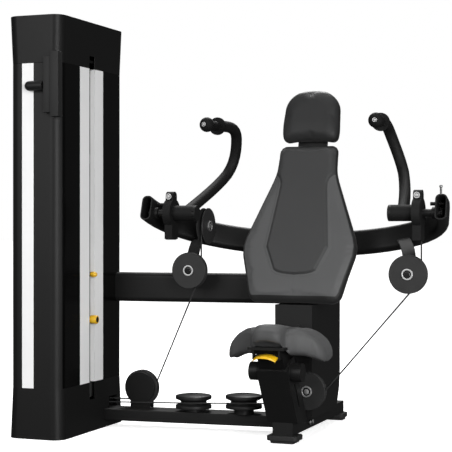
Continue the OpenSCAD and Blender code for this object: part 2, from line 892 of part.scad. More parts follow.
core_d = 20;
flange_t = 10;
lever_t = 32;
cam_r = 56;
module arm() {
  sleeve_out = pivot_x + sleeve_l / 2;
  root = [pivot_x - 4, pivot_y + 16, pivot_z + 8];
  elbow = [372, 66, 1030];
  shoulder = [325, 52, 1176];
  back = bezier_path(root, [418, -90, 928], [390, 20, 985], elbow, 6);
  rise = bezier_path(elbow, [352, 105, 1078], [336, 82, 1130], shoulder, 6);
  over = bezier_path(shoulder, [314, 20, 1224], [324, -40, 1222], flange_at, 8);
  tail = concat([for (i = [1:6]) rise[i]], [for (i = [1:8]) over[i]]);
  color("#1e1f20")
    difference() {
      union() {
        x_rod(sleeve_d / 2, pivot_x - sleeve_l / 2, sleeve_out + lever_t, pivot_y, pivot_z);
        translate([sleeve_out, pivot_y, pivot_z])
          rotate([90, 0, 90])
            linear_extrude(lever_t) {
              circle(cam_r);
              translate([0, 66])
                circle(20);
              translate([-20, 0])
                square([40, 66]);
              intersection() {
                circle(lever_low);
                translate([-30, -lever_low])
                  square([60, lever_low]);
              }
            }
        sweep(concat(back, tail), circle_section(arm_d, 20), [0.9, 0.1, 0.2]);
        grip_frame()
          cylinder(d = core_d, h = flange_t + grip_l + ball_d / 2);
      }
      x_rod(axle_d / 2 + run_clear, pivot_x - sleeve_l, sleeve_out + lever_t + 1, pivot_y, pivot_z);
    }
  color("#c9cbcd")
    y_rod(11, pivot_y - 20, pivot_y - 26, sleeve_out + lever_t / 2, pivot_z + 66);
}

// Flange, grip and ball on the arm's core, threaded on one after the other
module hand_set() {
  bore = core_d + 2 * run_clear;
  grip_frame() {
    color("#2a2b2c")
      difference() {
        translate([0, 0, 1])
          cylinder(d = flange_d, h = flange_t - 1);
        cylinder(d = bore, h = flange_t + 1);
      }
    color("#141414")
      difference() {
        translate([0, 0, flange_t])
          cylinder(d = grip_d, h = grip_l - ball_d / 2 + 6);
        cylinder(d = bore, h = flange_t + grip_l);
      }
    color("#232425")
      difference() {
        translate([0, 0, flange_t + grip_l])
          sphere(d = ball_d);
        cylinder(d = bore, h = flange_t + grip_l + ball_d / 2 + 1);
        cylinder(d = grip_d + 1, h = flange_t + grip_l - ball_d / 2 + 6 + side_gap);
      }
  }
}

module left_axle() {
  mirror([1, 0, 0])
    axle();
}

module right_axle() {
  axle();
}

module left_arm() {
  mirror([1, 0, 0])
    arm();
}

module right_arm() {
  arm();
}

module hand_flanges_left() {
  mirror([1, 0, 0])
    hand_set();
}

module hand_flanges_right() {
  hand_set();
}

// Hanging pulleys and the sheave behind the left pivot
hanger_t = 12;
module hanger(c, top) {
  plate_y = c[1] + pulley_side + hanger_t / 2;
  path = bezier_path(
    [c[0], plate_y, c[2] - 24], [c[0], plate_y, c[2] + 60], [c[0], plate_y + 20, c[2] + 90], top, 8
  );
  color("#1c1d1e") {
    sweep(path, rounded_section(50, hanger_t, 4, 2), [0, -1, 0]);
    y_rod(pulley_axle_d / 2 + 6, c[1] + pulley_side, plate_y, c[0], c[2]);
  }
  color("#b5b7b9") {
    y_rod(pulley_axle_d / 2, c[1] - pulley_side, plate_y, c[0], c[2]);
    y_rod(20, c[1] - pulley_side - 3, c[1] - pulley_side, c[0], c[2]);
    y_rod(10, c[1] - pulley_side - 7, c[1] - pulley_side - 3, c[0], c[2]);
  }
}

module left_hanger() {
  arm_x = sheave_x - pulley_side;
  hanger(hang_left, [hang_left_x - 4, -22, hang_z + 140]);
  color("#1c1d1e")
    span_box([arm_x - 10, sheave_y - 26, sheave_z - 28], [arm_x, 4, sheave_z + 22]);
  color("#b5b7b9") {
    x_rod(pulley_axle_d / 2, arm_x - 4, sheave_x + pulley_side, sheave_y, sheave_z);
    x_rod(20, sheave_x + pulley_side, sheave_x + pulley_side + 3, sheave_y, sheave_z);
  }
}

module right_hanger() {
  hanger(hang_right, [hang_right_x - 70, 0, hang_z + 130]);
}

module left_hanging_pulley() {
  color("#404244")
    pulley_y(pulley_d, groove_r, hang_left);
}

module right_hanging_pulley() {
  color("#404244")
    pulley_y(pulley_d, groove_r, hang_right);
}

module left_sheave() {
  color("#404244")
    pulley_x(pulley_d, groove_r, sheave_c);
}

// Pulleys near the floor
module base_pulley() {
  color("#404244")
    pulley_y(pulley_d, groove_r, base_c);
}

module flat_pulley_left() {
  color("#404244")
    translate([flat_left_x, flat_y, run_z(flat_left_x)])
      pulley(pulley_d, flat_pulley_w, groove_r);
}

module flat_pulley_right() {
  color("#404244")
    translate([flat_right_x, flat_y, run_z(flat_right_x)])
      pulley(pulley_d, flat_pulley_w, groove_r);
}

module pulley_mounts() {
  flat_side = flat_pulley_w / 2 + side_gap;
  cheek = 8;
  cheek_r = 64;
  cheek_neck = 86;
  color("#1c1d1e") {
    for (x = [flat_left_x, flat_right_x])
      translate([x, flat_y, beam_z1])
        cylinder(r = 40, h = run_z(x) - flat_side - beam_z1);
    for (s = [-1, 1]) {
      y = left_run_y + s * (pulley_side + cheek / 2);
      y_rod(cheek_r, y - cheek / 2, y + cheek / 2, base_pulley_x, base_pulley_z);
      span_box(
        [base_pulley_x - cheek_neck / 2, y - cheek / 2, beam_z1],
        [base_pulley_x + cheek_neck / 2, y + cheek / 2, base_pulley_z]
      );
    }
  }
  color("#b5b7b9") {
    for (x = [flat_left_x, flat_right_x])
      translate([x, flat_y, run_z(x) - flat_side - 1]) {
        cylinder(d = pulley_axle_d, h = 2 * flat_side + 1);
        translate([0, 0, 2 * flat_side + 1])
          cylinder(r = 20, h = 4);
      }
    y_rod(
      pulley_axle_d / 2, left_run_y - pulley_side - cheek, left_run_y + pulley_side + cheek,
      base_pulley_x, base_pulley_z
    );
    column_face = column_pulley_y - pulley_side;
    y_rod(pulley_axle_d / 2, -column_front, column_face, column_pulley_x, column_pulley_z);
    y_rod(20, column_face - 3, column_face, column_pulley_x, column_pulley_z);
  }
}

module column_pulley() {
  color("#404244")
    pulley_y(pulley_d, groove_r, column_c);
}

// Seat
module post_frame() {
  translate([0, post_y, rail_top])
    rotate([seat_lean, 0, 0])
      children();
}

boss_l = 42;
boss_up = 236;
module seat_post() {
  color("#1f2021")
    difference() {
      union() {
        post_frame() {
          span_box([-post_w / 2, -post_d / 2, -80], [post_w / 2, post_d / 2, post_l]);
          for (s = [-1, 1])
            x_rod(35, s * post_w / 2, s * (post_w / 2 + boss_l), 0, boss_up);
        }
      }
      post_frame()
        span_box(
          [-post_w / 2 + post_wall, -post_d / 2 + post_wall, 30],
          [post_w / 2 - post_wall, post_d / 2 - post_wall, post_l + 1]
        );
      post_frame()
        span_box([post_w / 2 - post_wall - 1, -6, 70], [post_w / 2 + 1, 6, 180]);
      span_box([-200, -600, -200], [200, 200, rail_top]);
    }
}

seat_plate_t = 10;
seat_plate_half = 70;
seat_mid_y = post_y - 108;
lever_pin_d = 10;
lever_y = seat_mid_y - 130;
lever_z = seat_z - 32;
module seat_slide() {
  inner = [post_w / 2 - post_wall - slide_clear, post_d / 2 - post_wall - slide_clear];
  ear = 6;
  color("#26282a") {
    difference() {
      post_frame()
        span_box([-inner[0], -inner[1], 60], [inner[0], inner[1], post_l + 120]);
      span_box([-200, -800, seat_z - seat_plate_t / 2], [200, 200, 900]);
    }
    span_box(
      [-seat_plate_half, lever_y - 16, seat_z - seat_plate_t],
      [seat_plate_half, seat_mid_y + 130, seat_z]
    );
    for (s = [-1, 1])
      translate([s * 50 - ear / 2, lever_y - 12, lever_z - 12])
        cube([ear, 24, seat_z - lever_z + 6]);
    x_rod(lever_pin_d / 2, -52, 52, lever_y, lever_z);
  }
}

module seat_lever() {
  reach = 44;
  color("#f2b705")
    difference() {
      union() {
        x_rod(lever_pin_d / 2 + 5, -44, 44, lever_y, lever_z);
        span_box([-44, lever_y - reach, lever_z - 4], [44, lever_y, lever_z + 4]);
        x_rod(7, -44, 44, lever_y - reach, lever_z);
      }
      x_rod(lever_pin_d / 2 + run_clear, -45, 45, lever_y, lever_z);
    }
}

module seat_pad() {
  nose = 62;
  widths = [
    [0, nose], [0.16 * seat_l, nose + 14], [0.25 * seat_l, 0.56 * seat_half],
    [0.36 * seat_l, 0.94 * seat_half], [0.46 * seat_l, seat_half], [0.7 * seat_l, seat_half],
    [0.85 * seat_l, 0.9 * seat_half], [seat_l, 0.66 * seat_half]
  ];
  flat_half = seat_plate_half + 12;
  flat_share = flat_half / seat_half;
  rings = [
    [flat_share, 0], [0.56, 0], [0.74, 0], [0.9, 0], [0.98, 10], [1, 0.36 * seat_t], [0.99, 0.58 * seat_t],
    [0.94, 0.78 * seat_t], [0.84, 0.9 * seat_t], [0.66, 0.97 * seat_t], [0.4, seat_t], [0.18, seat_t]
  ];
  color("#474947")
    translate([0, seat_mid_y - seat_l / 2, seat_z + side_gap])
      cushion(seat_l, widths, rings, [40, 56], [seat_drop, flat_half, seat_half], seat_rear_t / seat_t);
}

// Backrest and headrest, on one reclined plate
module back_space() {
  translate([0, back_y0, back_z0])
    rotate([-recline, 0, 0])
      children();
}

// Lays a cushion drawn on the XY plane against the reclined plate, its crown to the front
module against_plate(up) {
  back_space()
    translate([0, -back_plate_t - side_gap, up])
      rotate([90, 0, 0])
        children();
}

head_up = back_l + head_gap;
module back_frame() {
  color("#1c1d1e")
    back_space() {
      span_box([-90, -back_plate_t, 40], [90, 0, back_l - 60]);
      span_box([-62, -back_plate_t, back_l - 60], [62, 0, head_up + head_l - 50]);
    }
}

pad_l = back_l + back_lip;
back_rear = back_top_t / back_t;
back_widths = [
  [0, 0.752 * back_half], [0.29 * pad_l, 0.985 * back_half], [0.33 * pad_l, back_half],
  [0.38 * pad_l, 0.985 * back_half], [0.53 * pad_l, 0.833 * back_half], [0.7 * pad_l, 0.66 * back_half],
  [0.8 * pad_l, 0.56 * back_half], [0.88 * pad_l, 0.532 * back_half], [pad_l, 0.51 * back_half]
];
back_rings = [
  [0.72, 0], [0.8, 0.25 * back_t], [0.95, 0.42 * back_t], [0.985, 0.5 * back_t], [1, 0.6 * back_t],
  [1, 0.8 * back_t], [0.985, 0.9 * back_t], [0.96, 0.97 * back_t], [0.92, back_t], [0.5, back_t], [0.2, back_t]
];
centre_up = 0.143 * back_l;
centre_l = back_l - centre_up - 8;
centre_lean = atan((back_t - back_top_t) / pad_l);
centre_widths = [
  [0, 0.31 * back_half], [0.035 * centre_l, 0.37 * back_half], [0.21 * centre_l, 0.54 * back_half],
  [0.47 * centre_l, 0.466 * back_half], [0.68 * centre_l, 0.417 * back_half],
  [0.75 * centre_l, 0.445 * back_half], [0.83 * centre_l, 0.49 * back_half], [centre_l, 0.46 * back_half]
];
module backrest_pads() {
  color("#5c5e5c")
    against_plate(-back_lip)
      cushion(pad_l, back_widths, back_rings, [30, 30], [0, 0, 1], back_rear);
  color("#444544")
    against_plate(centre_up)
      translate([0, 0, back_t * thinned(centre_up + back_lip, pad_l, back_rear) + side_gap])
        rotate([-centre_lean, 0, 0])
          cushion(centre_l, centre_widths, [
            [0.99, 0], [1, 0.35 * centre_t], [0.98, 0.7 * centre_t], [0.9, 0.9 * centre_t],
            [0.7, centre_t], [0.4, 1.1 * centre_t], [0.15, 1.1 * centre_t]
          ], [50, 24]);
}

module headrest_pad() {
  widths = [
    [0, 0.97 * head_half], [0.2 * head_l, head_half], [0.6 * head_l, 0.98 * head_half],
    [head_l, 0.95 * head_half]
  ];
  color("#3c3e3d")
    against_plate(head_up)
      cushion(head_l, widths, [
        [0.94, 0], [0.99, 10], [1, 0.4 * head_t], [0.97, 0.7 * head_t], [0.88, 0.88 * head_t],
        [0.7, 0.97 * head_t], [0.4, head_t], [0.15, head_t]
      ], [22, 80]);
}

placed() base_rail();
placed() floor_beam();
placed() front_foot();
placed() rear_foot();
placed() main_column();
placed() tie_tube();
placed() bow_beam();
placed() tower_frame();
placed() front_shroud();
placed() rear_shroud();
placed() outer_shroud();
placed() front_light_panel();
placed() side_light_panels();
placed() top_cap();
placed() base_cap();
placed() accessory_box();
placed() accessory_peg();
placed() guide_rods();
placed() stack_cushions();
placed() resting_plates();
placed() lifted_plates();
placed() top_plate();
placed() selector_pin();
placed() add_on_pin();
placed() cable_yoke();
placed() top_pulley_frame();
placed() rear_top_pulley();
placed() front_top_pulley();
placed() lower_pulley_axle();
placed() left_lower_pulley();
placed() right_lower_pulley();
placed() left_cable();
placed() right_cable();
placed() yoke_cables();
placed() top_lift_cable();
placed() rear_lift_cable();
placed() front_lift_cable();
placed() left_axle();
placed() right_axle();
placed() left_arm();
placed() right_arm();
placed() hand_flanges_left();
placed() hand_flanges_right();
placed() left_hanger();
placed() right_hanger();
placed() left_hanging_pulley();
placed() right_hanging_pulley();
placed() left_sheave();
placed() base_pulley();
placed() flat_pulley_left();
placed() flat_pulley_right();
placed() pulley_mounts();
placed() column_pulley();
placed() seat_post();
placed() seat_slide();
placed() seat_lever();
placed() seat_pad();
placed() back_frame();
placed() backrest_pads();
placed() headrest_pad();
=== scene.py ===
# %% [markdown]
# # A seated chest machine, dressed for its portrait
# The construction arrives as a fixed frame: every tube, plate, pulley and pad is already at its real size
# and place. Here each surface gets its finish, the sharp edges get the small radius that real tube and
# moulding have, and the cushions become soft. A new piece stands where its solid stood and moves with the
# same body, apart from the cables that are pulled.

# %% Load the frame
import json
import math
import bpy
from mathutils import Matrix, Vector

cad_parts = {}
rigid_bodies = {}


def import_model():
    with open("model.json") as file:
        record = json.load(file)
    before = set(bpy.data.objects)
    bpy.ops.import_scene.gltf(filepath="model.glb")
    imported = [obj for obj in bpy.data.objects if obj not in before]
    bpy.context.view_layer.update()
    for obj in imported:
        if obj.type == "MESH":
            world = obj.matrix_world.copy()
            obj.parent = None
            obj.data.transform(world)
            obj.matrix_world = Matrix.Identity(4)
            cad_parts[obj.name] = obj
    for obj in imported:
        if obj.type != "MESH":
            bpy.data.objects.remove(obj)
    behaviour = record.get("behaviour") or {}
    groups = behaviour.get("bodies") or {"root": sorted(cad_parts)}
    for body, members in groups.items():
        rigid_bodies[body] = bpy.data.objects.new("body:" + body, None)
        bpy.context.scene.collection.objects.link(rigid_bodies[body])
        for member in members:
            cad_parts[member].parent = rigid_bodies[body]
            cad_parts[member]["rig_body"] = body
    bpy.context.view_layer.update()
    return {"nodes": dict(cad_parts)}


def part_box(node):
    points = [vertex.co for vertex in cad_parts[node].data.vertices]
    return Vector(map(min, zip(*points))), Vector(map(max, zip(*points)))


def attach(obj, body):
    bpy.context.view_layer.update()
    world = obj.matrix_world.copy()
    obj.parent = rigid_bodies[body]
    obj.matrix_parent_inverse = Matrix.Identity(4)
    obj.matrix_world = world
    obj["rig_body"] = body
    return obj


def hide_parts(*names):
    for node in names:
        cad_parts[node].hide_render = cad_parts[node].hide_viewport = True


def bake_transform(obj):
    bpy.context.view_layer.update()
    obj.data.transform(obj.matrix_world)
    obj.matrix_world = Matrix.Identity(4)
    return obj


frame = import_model()
nodes = frame["nodes"]
scene = bpy.context.scene

# %% [markdown]
# ## Camera
# The picture was taken from the right of the seat with a long lens, level with the tower's middle. A long
# lens keeps uprights parallel, so the camera is level too, and a small shift sets the horizon instead of a
# tilt.

# %% Camera
IMAGE_PX = 452
FOCAL_PX = 1355
SENSOR_MM = 36.0
HORIZON_RISE_PX = 7
CAMERA_AT = (1.632, -4.873, 0.8465)
CAMERA_LEVEL = math.radians(90)
CAMERA_TURN = math.radians(21)

camera_data = bpy.data.cameras.new("portrait_camera")
camera_data.sensor_width = SENSOR_MM
camera_data.lens = SENSOR_MM * FOCAL_PX / IMAGE_PX
camera_data.shift_y = -HORIZON_RISE_PX / IMAGE_PX
camera = bpy.data.objects.new("portrait_camera", camera_data)
camera.location = CAMERA_AT
camera.rotation_euler = (CAMERA_LEVEL, 0, CAMERA_TURN)
scene.collection.objects.link(camera)
scene.camera = camera
print("camera lens: %.1f mm" % camera_data.lens)

# %% [markdown]
# ## Studio
# A black machine shows its form only by what it mirrors, so the light is a few wide soft boxes: one large
# key from the front left, one from the front right, a small one close by on the right, one high up behind,
# and a dome above. The floor is pale and wide enough to fade into the backdrop.

# %% Soft boxes
MACHINE_MIDDLE = (-0.2, 0.0, 0.8)
SEAT_FRONT = (0.1, 0.0, 0.5)
# Each soft box: its place, the point it looks at, its width and its power in watts
SOFT_BOXES = {
    "key_box": ((-2.4, -5.4, 2.4), MACHINE_MIDDLE, 3.4, 165),
    "fill_box": ((3.9, -5.2, 1.5), MACHINE_MIDDLE, 3.0, 340),
    "side_box": ((1.6, -0.7, 0.75), SEAT_FRONT, 1.0, 11),
    "rear_box": ((-1.2, 4.0, 5.2), MACHINE_MIDDLE, 1.6, 240),
}


def soft_box(name, place, aim, width, power):
    """A square area light that looks at a point."""
    data = bpy.data.lights.new(name, "AREA")
    data.size = width
    data.energy = power
    light = bpy.data.objects.new(name, data)
    light.location = place
    light.rotation_euler = (Vector(aim) - Vector(place)).to_track_quat("-Z", "Y").to_euler()
    light.visible_camera = False
    scene.collection.objects.link(light)


for name, settings in SOFT_BOXES.items():
    soft_box(name, *settings)
print("soft boxes:", len(SOFT_BOXES))

# %% Dome, backdrop and floor
FLOOR_WIDTH = 80.0
DOME_POWER = 1.6
DOME_SPREAD = math.radians(50)
# The backdrop's strength as a source of light, and where the lens looks at it
BACKDROP_GLOW = 0.07
BACKDROP_SEEN = 1.0
WHITE = (1.0, 1.0, 1.0, 1.0)

dome = bpy.data.lights.new("overhead_dome", "SUN")
dome.energy = DOME_POWER
dome.angle = DOME_SPREAD
scene.collection.objects.link(bpy.data.objects.new("overhead_dome", dome))

world = bpy.data.worlds.new("pale_studio")
scene.world = world
world.use_nodes = True
sky = world.node_tree.nodes
sky_lines = world.node_tree.links
seen = sky.new("ShaderNodeLightPath")
level = sky.new("ShaderNodeMapRange")
level.inputs["To Min"].default_value = BACKDROP_GLOW
level.inputs["To Max"].default_value = BACKDROP_SEEN
sky_lines.new(seen.outputs["Is Camera Ray"], level.inputs["Value"])
sky_lines.new(level.outputs["Result"], sky["Background"].inputs["Strength"])
sky["Background"].inputs["Color"].default_value = WHITE
scene.view_settings.view_transform = "Standard"

bpy.ops.object.select_all(action="DESELECT")
bpy.ops.mesh.primitive_plane_add(size=FLOOR_WIDTH, location=(0, 0, 0))
floor = bpy.context.object
floor.name = "studio_floor"
floor.visible_diffuse = False
floor.visible_glossy = False

# %% [markdown]
# ## A small kit for finishes
# A finish is a formula: noise for grain, a mask for wear, a mix of two colours. Written as Python sums the
# formula stays readable, so one class wraps a socket and turns `a * b` into a Math node, and one method
# adds any other node.


# %% Values that add up
class Wire:
    """One value of a shader. Sums with it become Math nodes."""

    def __init__(self, finish, socket):
        self.finish = finish
        self.socket = socket

    def _sum(self, operation, first, second=0.0):
        return self.finish.add("ShaderNodeMath", {"operation": operation}, {0: first, 1: second})

    def __add__(self, other):
        return self._sum("ADD", self, other)

    def __sub__(self, other):
        return self._sum("SUBTRACT", self, other)

    def __rsub__(self, other):
        return self._sum("SUBTRACT", other, self)

    def __mul__(self, other):
        return self._sum("MULTIPLY", self, other)

    def __truediv__(self, other):
        return self._sum("DIVIDE", self, other)

    def __pow__(self, other):
        return self._sum("POWER", self, other)

    def __abs__(self):
        return self._sum("ABSOLUTE", self)

    __radd__ = __add__
    __rmul__ = __mul__


print("sums ready")


# %% Finish kit
class Finish:
    """A material that grows node by node around one Principled shader."""

    def __init__(self, name, **constants):
        self.material = bpy.data.materials.new(name)
        self.material.use_nodes = True
        self.tree = self.material.node_tree
        self.shader = self.tree.nodes["Principled BSDF"]
        for socket, value in constants.items():
            self.shader.inputs[socket.replace("_", " ")].default_value = value
        self.place = self.add("ShaderNodeTexCoord", out="Object")

    def add(self, kind, settings=None, sockets=None, out=0):
        """One node: its settings first, then its sockets. Returns one of its outputs."""
        node = self.tree.nodes.new(kind)
        for key, value in (settings or {}).items():
            if key == "curve":
                self._draw_curve(node, value)
            else:
                setattr(node, key, value)
        for key, value in (sockets or {}).items():
            self._plug(node.inputs[key], value)
        return Wire(self, node.outputs[out])

    def _draw_curve(self, node, points):
        line = node.mapping.curves[0]
        for x, y in points[1:-1]:
            line.points.new(x, y)
        line.points[0].location = points[0]
        line.points[-1].location = points[-1]
        for point in line.points:
            point.handle_type = "VECTOR"
        node.mapping.update()

    def _plug(self, socket, value):
        if isinstance(value, Wire):
            self.tree.links.new(value.socket, socket)
        else:
            socket.default_value = value

    def feed(self, socket, value):
        self._plug(self.shader.inputs[socket], value)

    def noise(self, scale, detail=3.0, vector=None):
        sockets = {"Vector": vector or self.place, "Scale": scale, "Detail": detail}
        return self.add("ShaderNodeTexNoise", None, sockets)

    def cells(self, scale, feature="DISTANCE_TO_EDGE"):
        sockets = {"Vector": self.place, "Scale": scale}
        return self.add("ShaderNodeTexVoronoi", {"feature": feature}, sockets)

    def axes(self):
        """The place on the object as three values."""
        parts = self.add("ShaderNodeSeparateXYZ", None, {0: self.place}).socket.node
        return [Wire(self, parts.outputs[i]) for i in range(3)]

    def sine(self, value):
        return self.add("ShaderNodeMath", {"operation": "SINE"}, {0: value})

    def clamp(self, value):
        return self.add("ShaderNodeClamp", None, {"Value": value})

    def step(self, value, sharp):
        """One where a value is above zero, nought where it is below, with a soft edge between."""
        return self.clamp(value * sharp + 0.5)

    def mix(self, factor, first, second):
        sockets = {0: factor, 6: first, 7: second}
        return self.add("ShaderNodeMix", {"data_type": "RGBA"}, sockets, out=2)

    def mottle(self, mask, level, least, most, warm=0.0):
        """One tone that drifts between two shares of its brightness."""
        return self.mix(mask, tone(level * least, warm), tone(level * most, warm))

    def bump(self, height, distance, strength):
        sockets = {"Height": height, "Distance": distance, "Strength": strength}
        self.feed("Normal", self.add("ShaderNodeBump", None, sockets))


def tone(level, warm=0.0):
    """A near-neutral colour of one brightness."""
    return (level * (1 + warm), level, level * (1 - warm), 1.0)


print("finish kit ready")

# %% [markdown]
# ## Finishes
# Powder coat is black with a faint orange peel and a breath of dust on faces that look up. Moulded shells
# have a fine spark-eroded grain instead. The light strips of the tower are perforated sheet, a lattice of
# small round holes.

# %% Painted, moulded and perforated finishes
# Dust lies on faces that look up by more than this
DUST_FROM = 0.6
DUST_TONE = tone(0.20, 0.03)
# Height of the lattice's waves above which a hole is open
HOLE_FROM = 0.72


def powder_coat(name, level, rough):
    coat = Finish(name, Specular_IOR_Level=0.20)
    broad = coat.noise(scale=5.0, detail=4.0)
    peel = coat.noise(scale=650.0, detail=2.0)
    normal = coat.add("ShaderNodeNewGeometry", out="Normal")
    up = coat.add("ShaderNodeSeparateXYZ", None, {0: normal}, out=2)
    dust = coat.clamp((up - DUST_FROM) * 2.5) * coat.noise(scale=38.0, detail=6.0)
    shade = coat.mottle(broad, level, least=0.8, most=1.25)
    coat.feed("Base Color", coat.mix(dust * 0.10, shade, DUST_TONE))
    coat.feed("Roughness", rough + (broad - 0.5) * 0.10 + dust * 0.15)
    coat.bump(peel, distance=0.00012, strength=0.5)
    return coat.material


def moulded_shell(name, level, rough):
    shell = Finish(name, Specular_IOR_Level=0.16)
    grain = shell.cells(scale=900.0)
    broad = shell.noise(scale=3.5, detail=4.0)
    shell.feed("Base Color", shell.mottle(broad, level, least=0.85, most=1.2))
    shell.feed("Roughness", rough + (broad - 0.5) * 0.08 + grain * 0.05)
    shell.bump(grain, distance=0.00015, strength=0.35)
    return shell.material


def perforated_sheet(name, level, pitch):
    """Round holes on a square lattice that follows whichever way the sheet faces."""
    sheet = Finish(name, Specular_IOR_Level=0.3)
    x, y, z = sheet.axes()
    turn = 2 * math.pi / pitch
    lattice = sheet.sine((x + y) * turn) * sheet.sine(z * turn)
    hole = sheet.clamp((lattice - HOLE_FROM) * 5.0)
    smudge = sheet.noise(scale=9.0, detail=5.0)
    metal = sheet.mottle(smudge, level, least=0.93, most=1.0)
    sheet.feed("Base Color", sheet.mix(hole * 0.40, metal, tone(level * 0.25)))
    sheet.feed("Roughness", 0.42 + smudge * 0.12)
    sheet.bump(1 - hole, distance=0.0004, strength=0.5)
    return sheet.material


satin_black = powder_coat("satin_black_frame", level=0.0075, rough=0.46)
# A deeper black; on the seat slide it is painted shade under the seat's nose
deep_black = powder_coat("deep_black_bracket", level=0.004, rough=0.5)
matte_black = powder_coat("matte_black_arm", level=0.0055, rough=0.66)
shell_black = moulded_shell("moulded_black_shell", level=0.0095, rough=0.42)
# Glossier and far darker than the shell: painted shade for the faces that look right, the tower's near side
shaded_side_gloss = moulded_shell("gloss_black_shaded_side", level=0.002, rough=0.2)
cap_black = moulded_shell("moulded_charcoal_cap", level=0.0075, rough=0.42)
pocket_grey = moulded_shell("moulded_grey_pocket", level=0.019, rough=0.5)
strip_light = perforated_sheet("perforated_light_strip", level=0.94, pitch=0.009)
print("materials so far:", len(bpy.data.materials))

# %% [markdown]
# Nylon that was turned shows faint rings, and drawn metal is bright along its length. Rubber scatters, and
# the yellow knobs and lever are the only colour, so they are glossy and clean.

# %% Nylon and steel
# Lathe rings on nylon, as radians of a wave per metre of radius
RING_WAVES = 5200.0
# How a drawing die stretches scratches along an upright piece
DRAWN_SCRATCH = (60.0, 60.0, 4.0)


def turned_nylon(name, level, centre, axis):
    """Fine lathe rings about a pulley's own axle."""
    nylon = Finish(name, Specular_IOR_Level=0.22)
    parts = nylon.axes()
    across = [parts[i] - centre[i] for i in range(3) if i != axis]
    radius = (across[0] ** 2.0 + across[1] ** 2.0) ** 0.5
    rings = nylon.sine(radius * RING_WAVES) * 0.5 + 0.5
    cloud = nylon.noise(scale=24.0, detail=5.0)
    nylon.feed("Base Color", nylon.mottle(cloud, level, least=0.8, most=1.2))
    nylon.feed("Roughness", 0.38 + rings * 0.06 + cloud * 0.10)
    nylon.bump(rings, distance=0.00008, strength=0.4)
    return nylon.material


def drawn_steel(name, level, rough):
    steel = Finish(name, Metallic=1.0)
    stretched = steel.add("ShaderNodeMapping", None, {"Vector": steel.place, "Scale": DRAWN_SCRATCH})
    lines = steel.noise(scale=40.0, detail=4.0, vector=stretched)
    steel.feed("Base Color", steel.mottle(lines, level, least=0.85, most=1.0))
    steel.feed("Roughness", rough + lines * 0.12)
    steel.bump(lines, distance=0.00005, strength=0.3)
    return steel.material


bright_steel = drawn_steel("bright_steel", level=0.55, rough=0.24)
dark_steel = drawn_steel("blued_steel", level=0.20, rough=0.34)
washer_zinc = drawn_steel("zinc_washer", level=0.52, rough=0.46)
print("materials so far:", len(bpy.data.materials))

# %% Rubber, bright plastic and iron
# The darker of the two shades of bright plastic, as a share of its colour
DARKER_SHARE = 0.82


def soft_rubber(name, level, scale, shine=0.3):
    rubber = Finish(name, Specular_IOR_Level=shine)
    dimples = rubber.cells(scale, "F1")
    cloud = rubber.noise(scale=14.0, detail=5.0)
    rubber.feed("Base Color", rubber.mottle(cloud, level, least=0.8, most=1.3))
    rubber.feed("Roughness", 0.62 + cloud * 0.15)
    rubber.bump(dimples, distance=0.0004, strength=0.5)
    return rubber.material


def bright_plastic(name, colour):
    gloss = Finish(name, Coat_Weight=0.4, Coat_Roughness=0.12)
    cloud = gloss.noise(scale=30.0, detail=4.0)
    darker = tuple(c * DARKER_SHARE for c in colour[:3]) + (1.0,)
    gloss.feed("Base Color", gloss.mix(cloud, darker, colour))
    gloss.feed("Roughness", 0.28 + cloud * 0.12)
    gloss.bump(gloss.noise(scale=700.0), distance=0.00006, strength=0.3)
    return gloss.material


def cast_plate(name, level):
    iron = Finish(name, Specular_IOR_Level=0.45)
    pits = iron.noise(scale=260.0, detail=4.0)
    cloud = iron.noise(scale=8.0, detail=4.0)
    iron.feed("Base Color", iron.mottle(cloud, level, least=0.75, most=1.2))
    iron.feed("Roughness", 0.45 + pits * 0.2)
    iron.bump(pits, distance=0.0004, strength=0.5)
    return iron.material


cable_coat = soft_rubber("cable_coating", level=0.02, scale=900.0)
foot_rubber = soft_rubber("foot_rubber", level=0.016, scale=260.0)
grip_rubber = soft_rubber("grip_rubber", level=0.005, scale=420.0, shine=0.15)
signal_yellow = bright_plastic("signal_yellow", (0.86, 0.50, 0.008, 1.0))
plate_iron = cast_plate("plate_iron", level=0.05)
print("materials so far:", len(bpy.data.materials))

# %% [markdown]
# ## Rounded edges
# A solid from the frame has perfectly sharp edges, which no bent tube or moulding has. For each main piece
# the mesh is copied, its loose triangles are merged into whole faces, and a narrow bevel rounds every sharp
# edge so that it catches a line of light. The copy stands for the solid.

# %% Working with one object
# A face looks along an axis when its normal has at least this much of it
FACING = 0.9


def take(obj):
    """Make one object the only selected one."""
    bpy.ops.object.select_all(action="DESELECT")
    obj.select_set(True)
    bpy.context.view_layer.objects.active = obj


def apply(obj, kind, **settings):
    """Add a modifier, set it and apply it."""
    take(obj)
    modifier = obj.modifiers.new(kind.lower(), kind)
    for key, value in settings.items():
        setattr(modifier, key, value)
    bpy.ops.object.modifier_apply(modifier=modifier.name)


def bevel(piece, radius, segments=3, sharp=40):
    """Round every edge that bends by more than an angle."""
    limit = math.radians(sharp)
    apply(piece, "BEVEL", width=radius, segments=segments, limit_method="ANGLE", angle_limit=limit)


def smooth(piece, angle=40):
    """Shade a piece smooth, except across edges that bend by more than an angle."""
    take(piece)
    bpy.ops.object.shade_smooth_by_angle(angle=math.radians(angle))


def pick_faces(piece, wanted):
    """Select the faces that pass a test, and leave the piece in edit mode."""
    take(piece)
    bpy.ops.object.mode_set(mode="EDIT")
    bpy.ops.mesh.select_mode(type="FACE")
    bpy.ops.mesh.select_all(action="DESELECT")
    bpy.ops.object.mode_set(mode="OBJECT")
    for face in piece.data.polygons:
        face.select = wanted(face)
    bpy.ops.object.mode_set(mode="EDIT")


def looks_up(face):
    return face.normal.z > FACING


def looks_down(face):
    return face.normal.z < -FACING


def sink(wall, depth):
    """Inset the selected face by a wall, and push what is left of it in."""
    bpy.ops.mesh.inset(thickness=wall)
    bpy.ops.mesh.extrude_region_shrink_fatten(TRANSFORM_OT_shrink_fatten={"value": -depth})


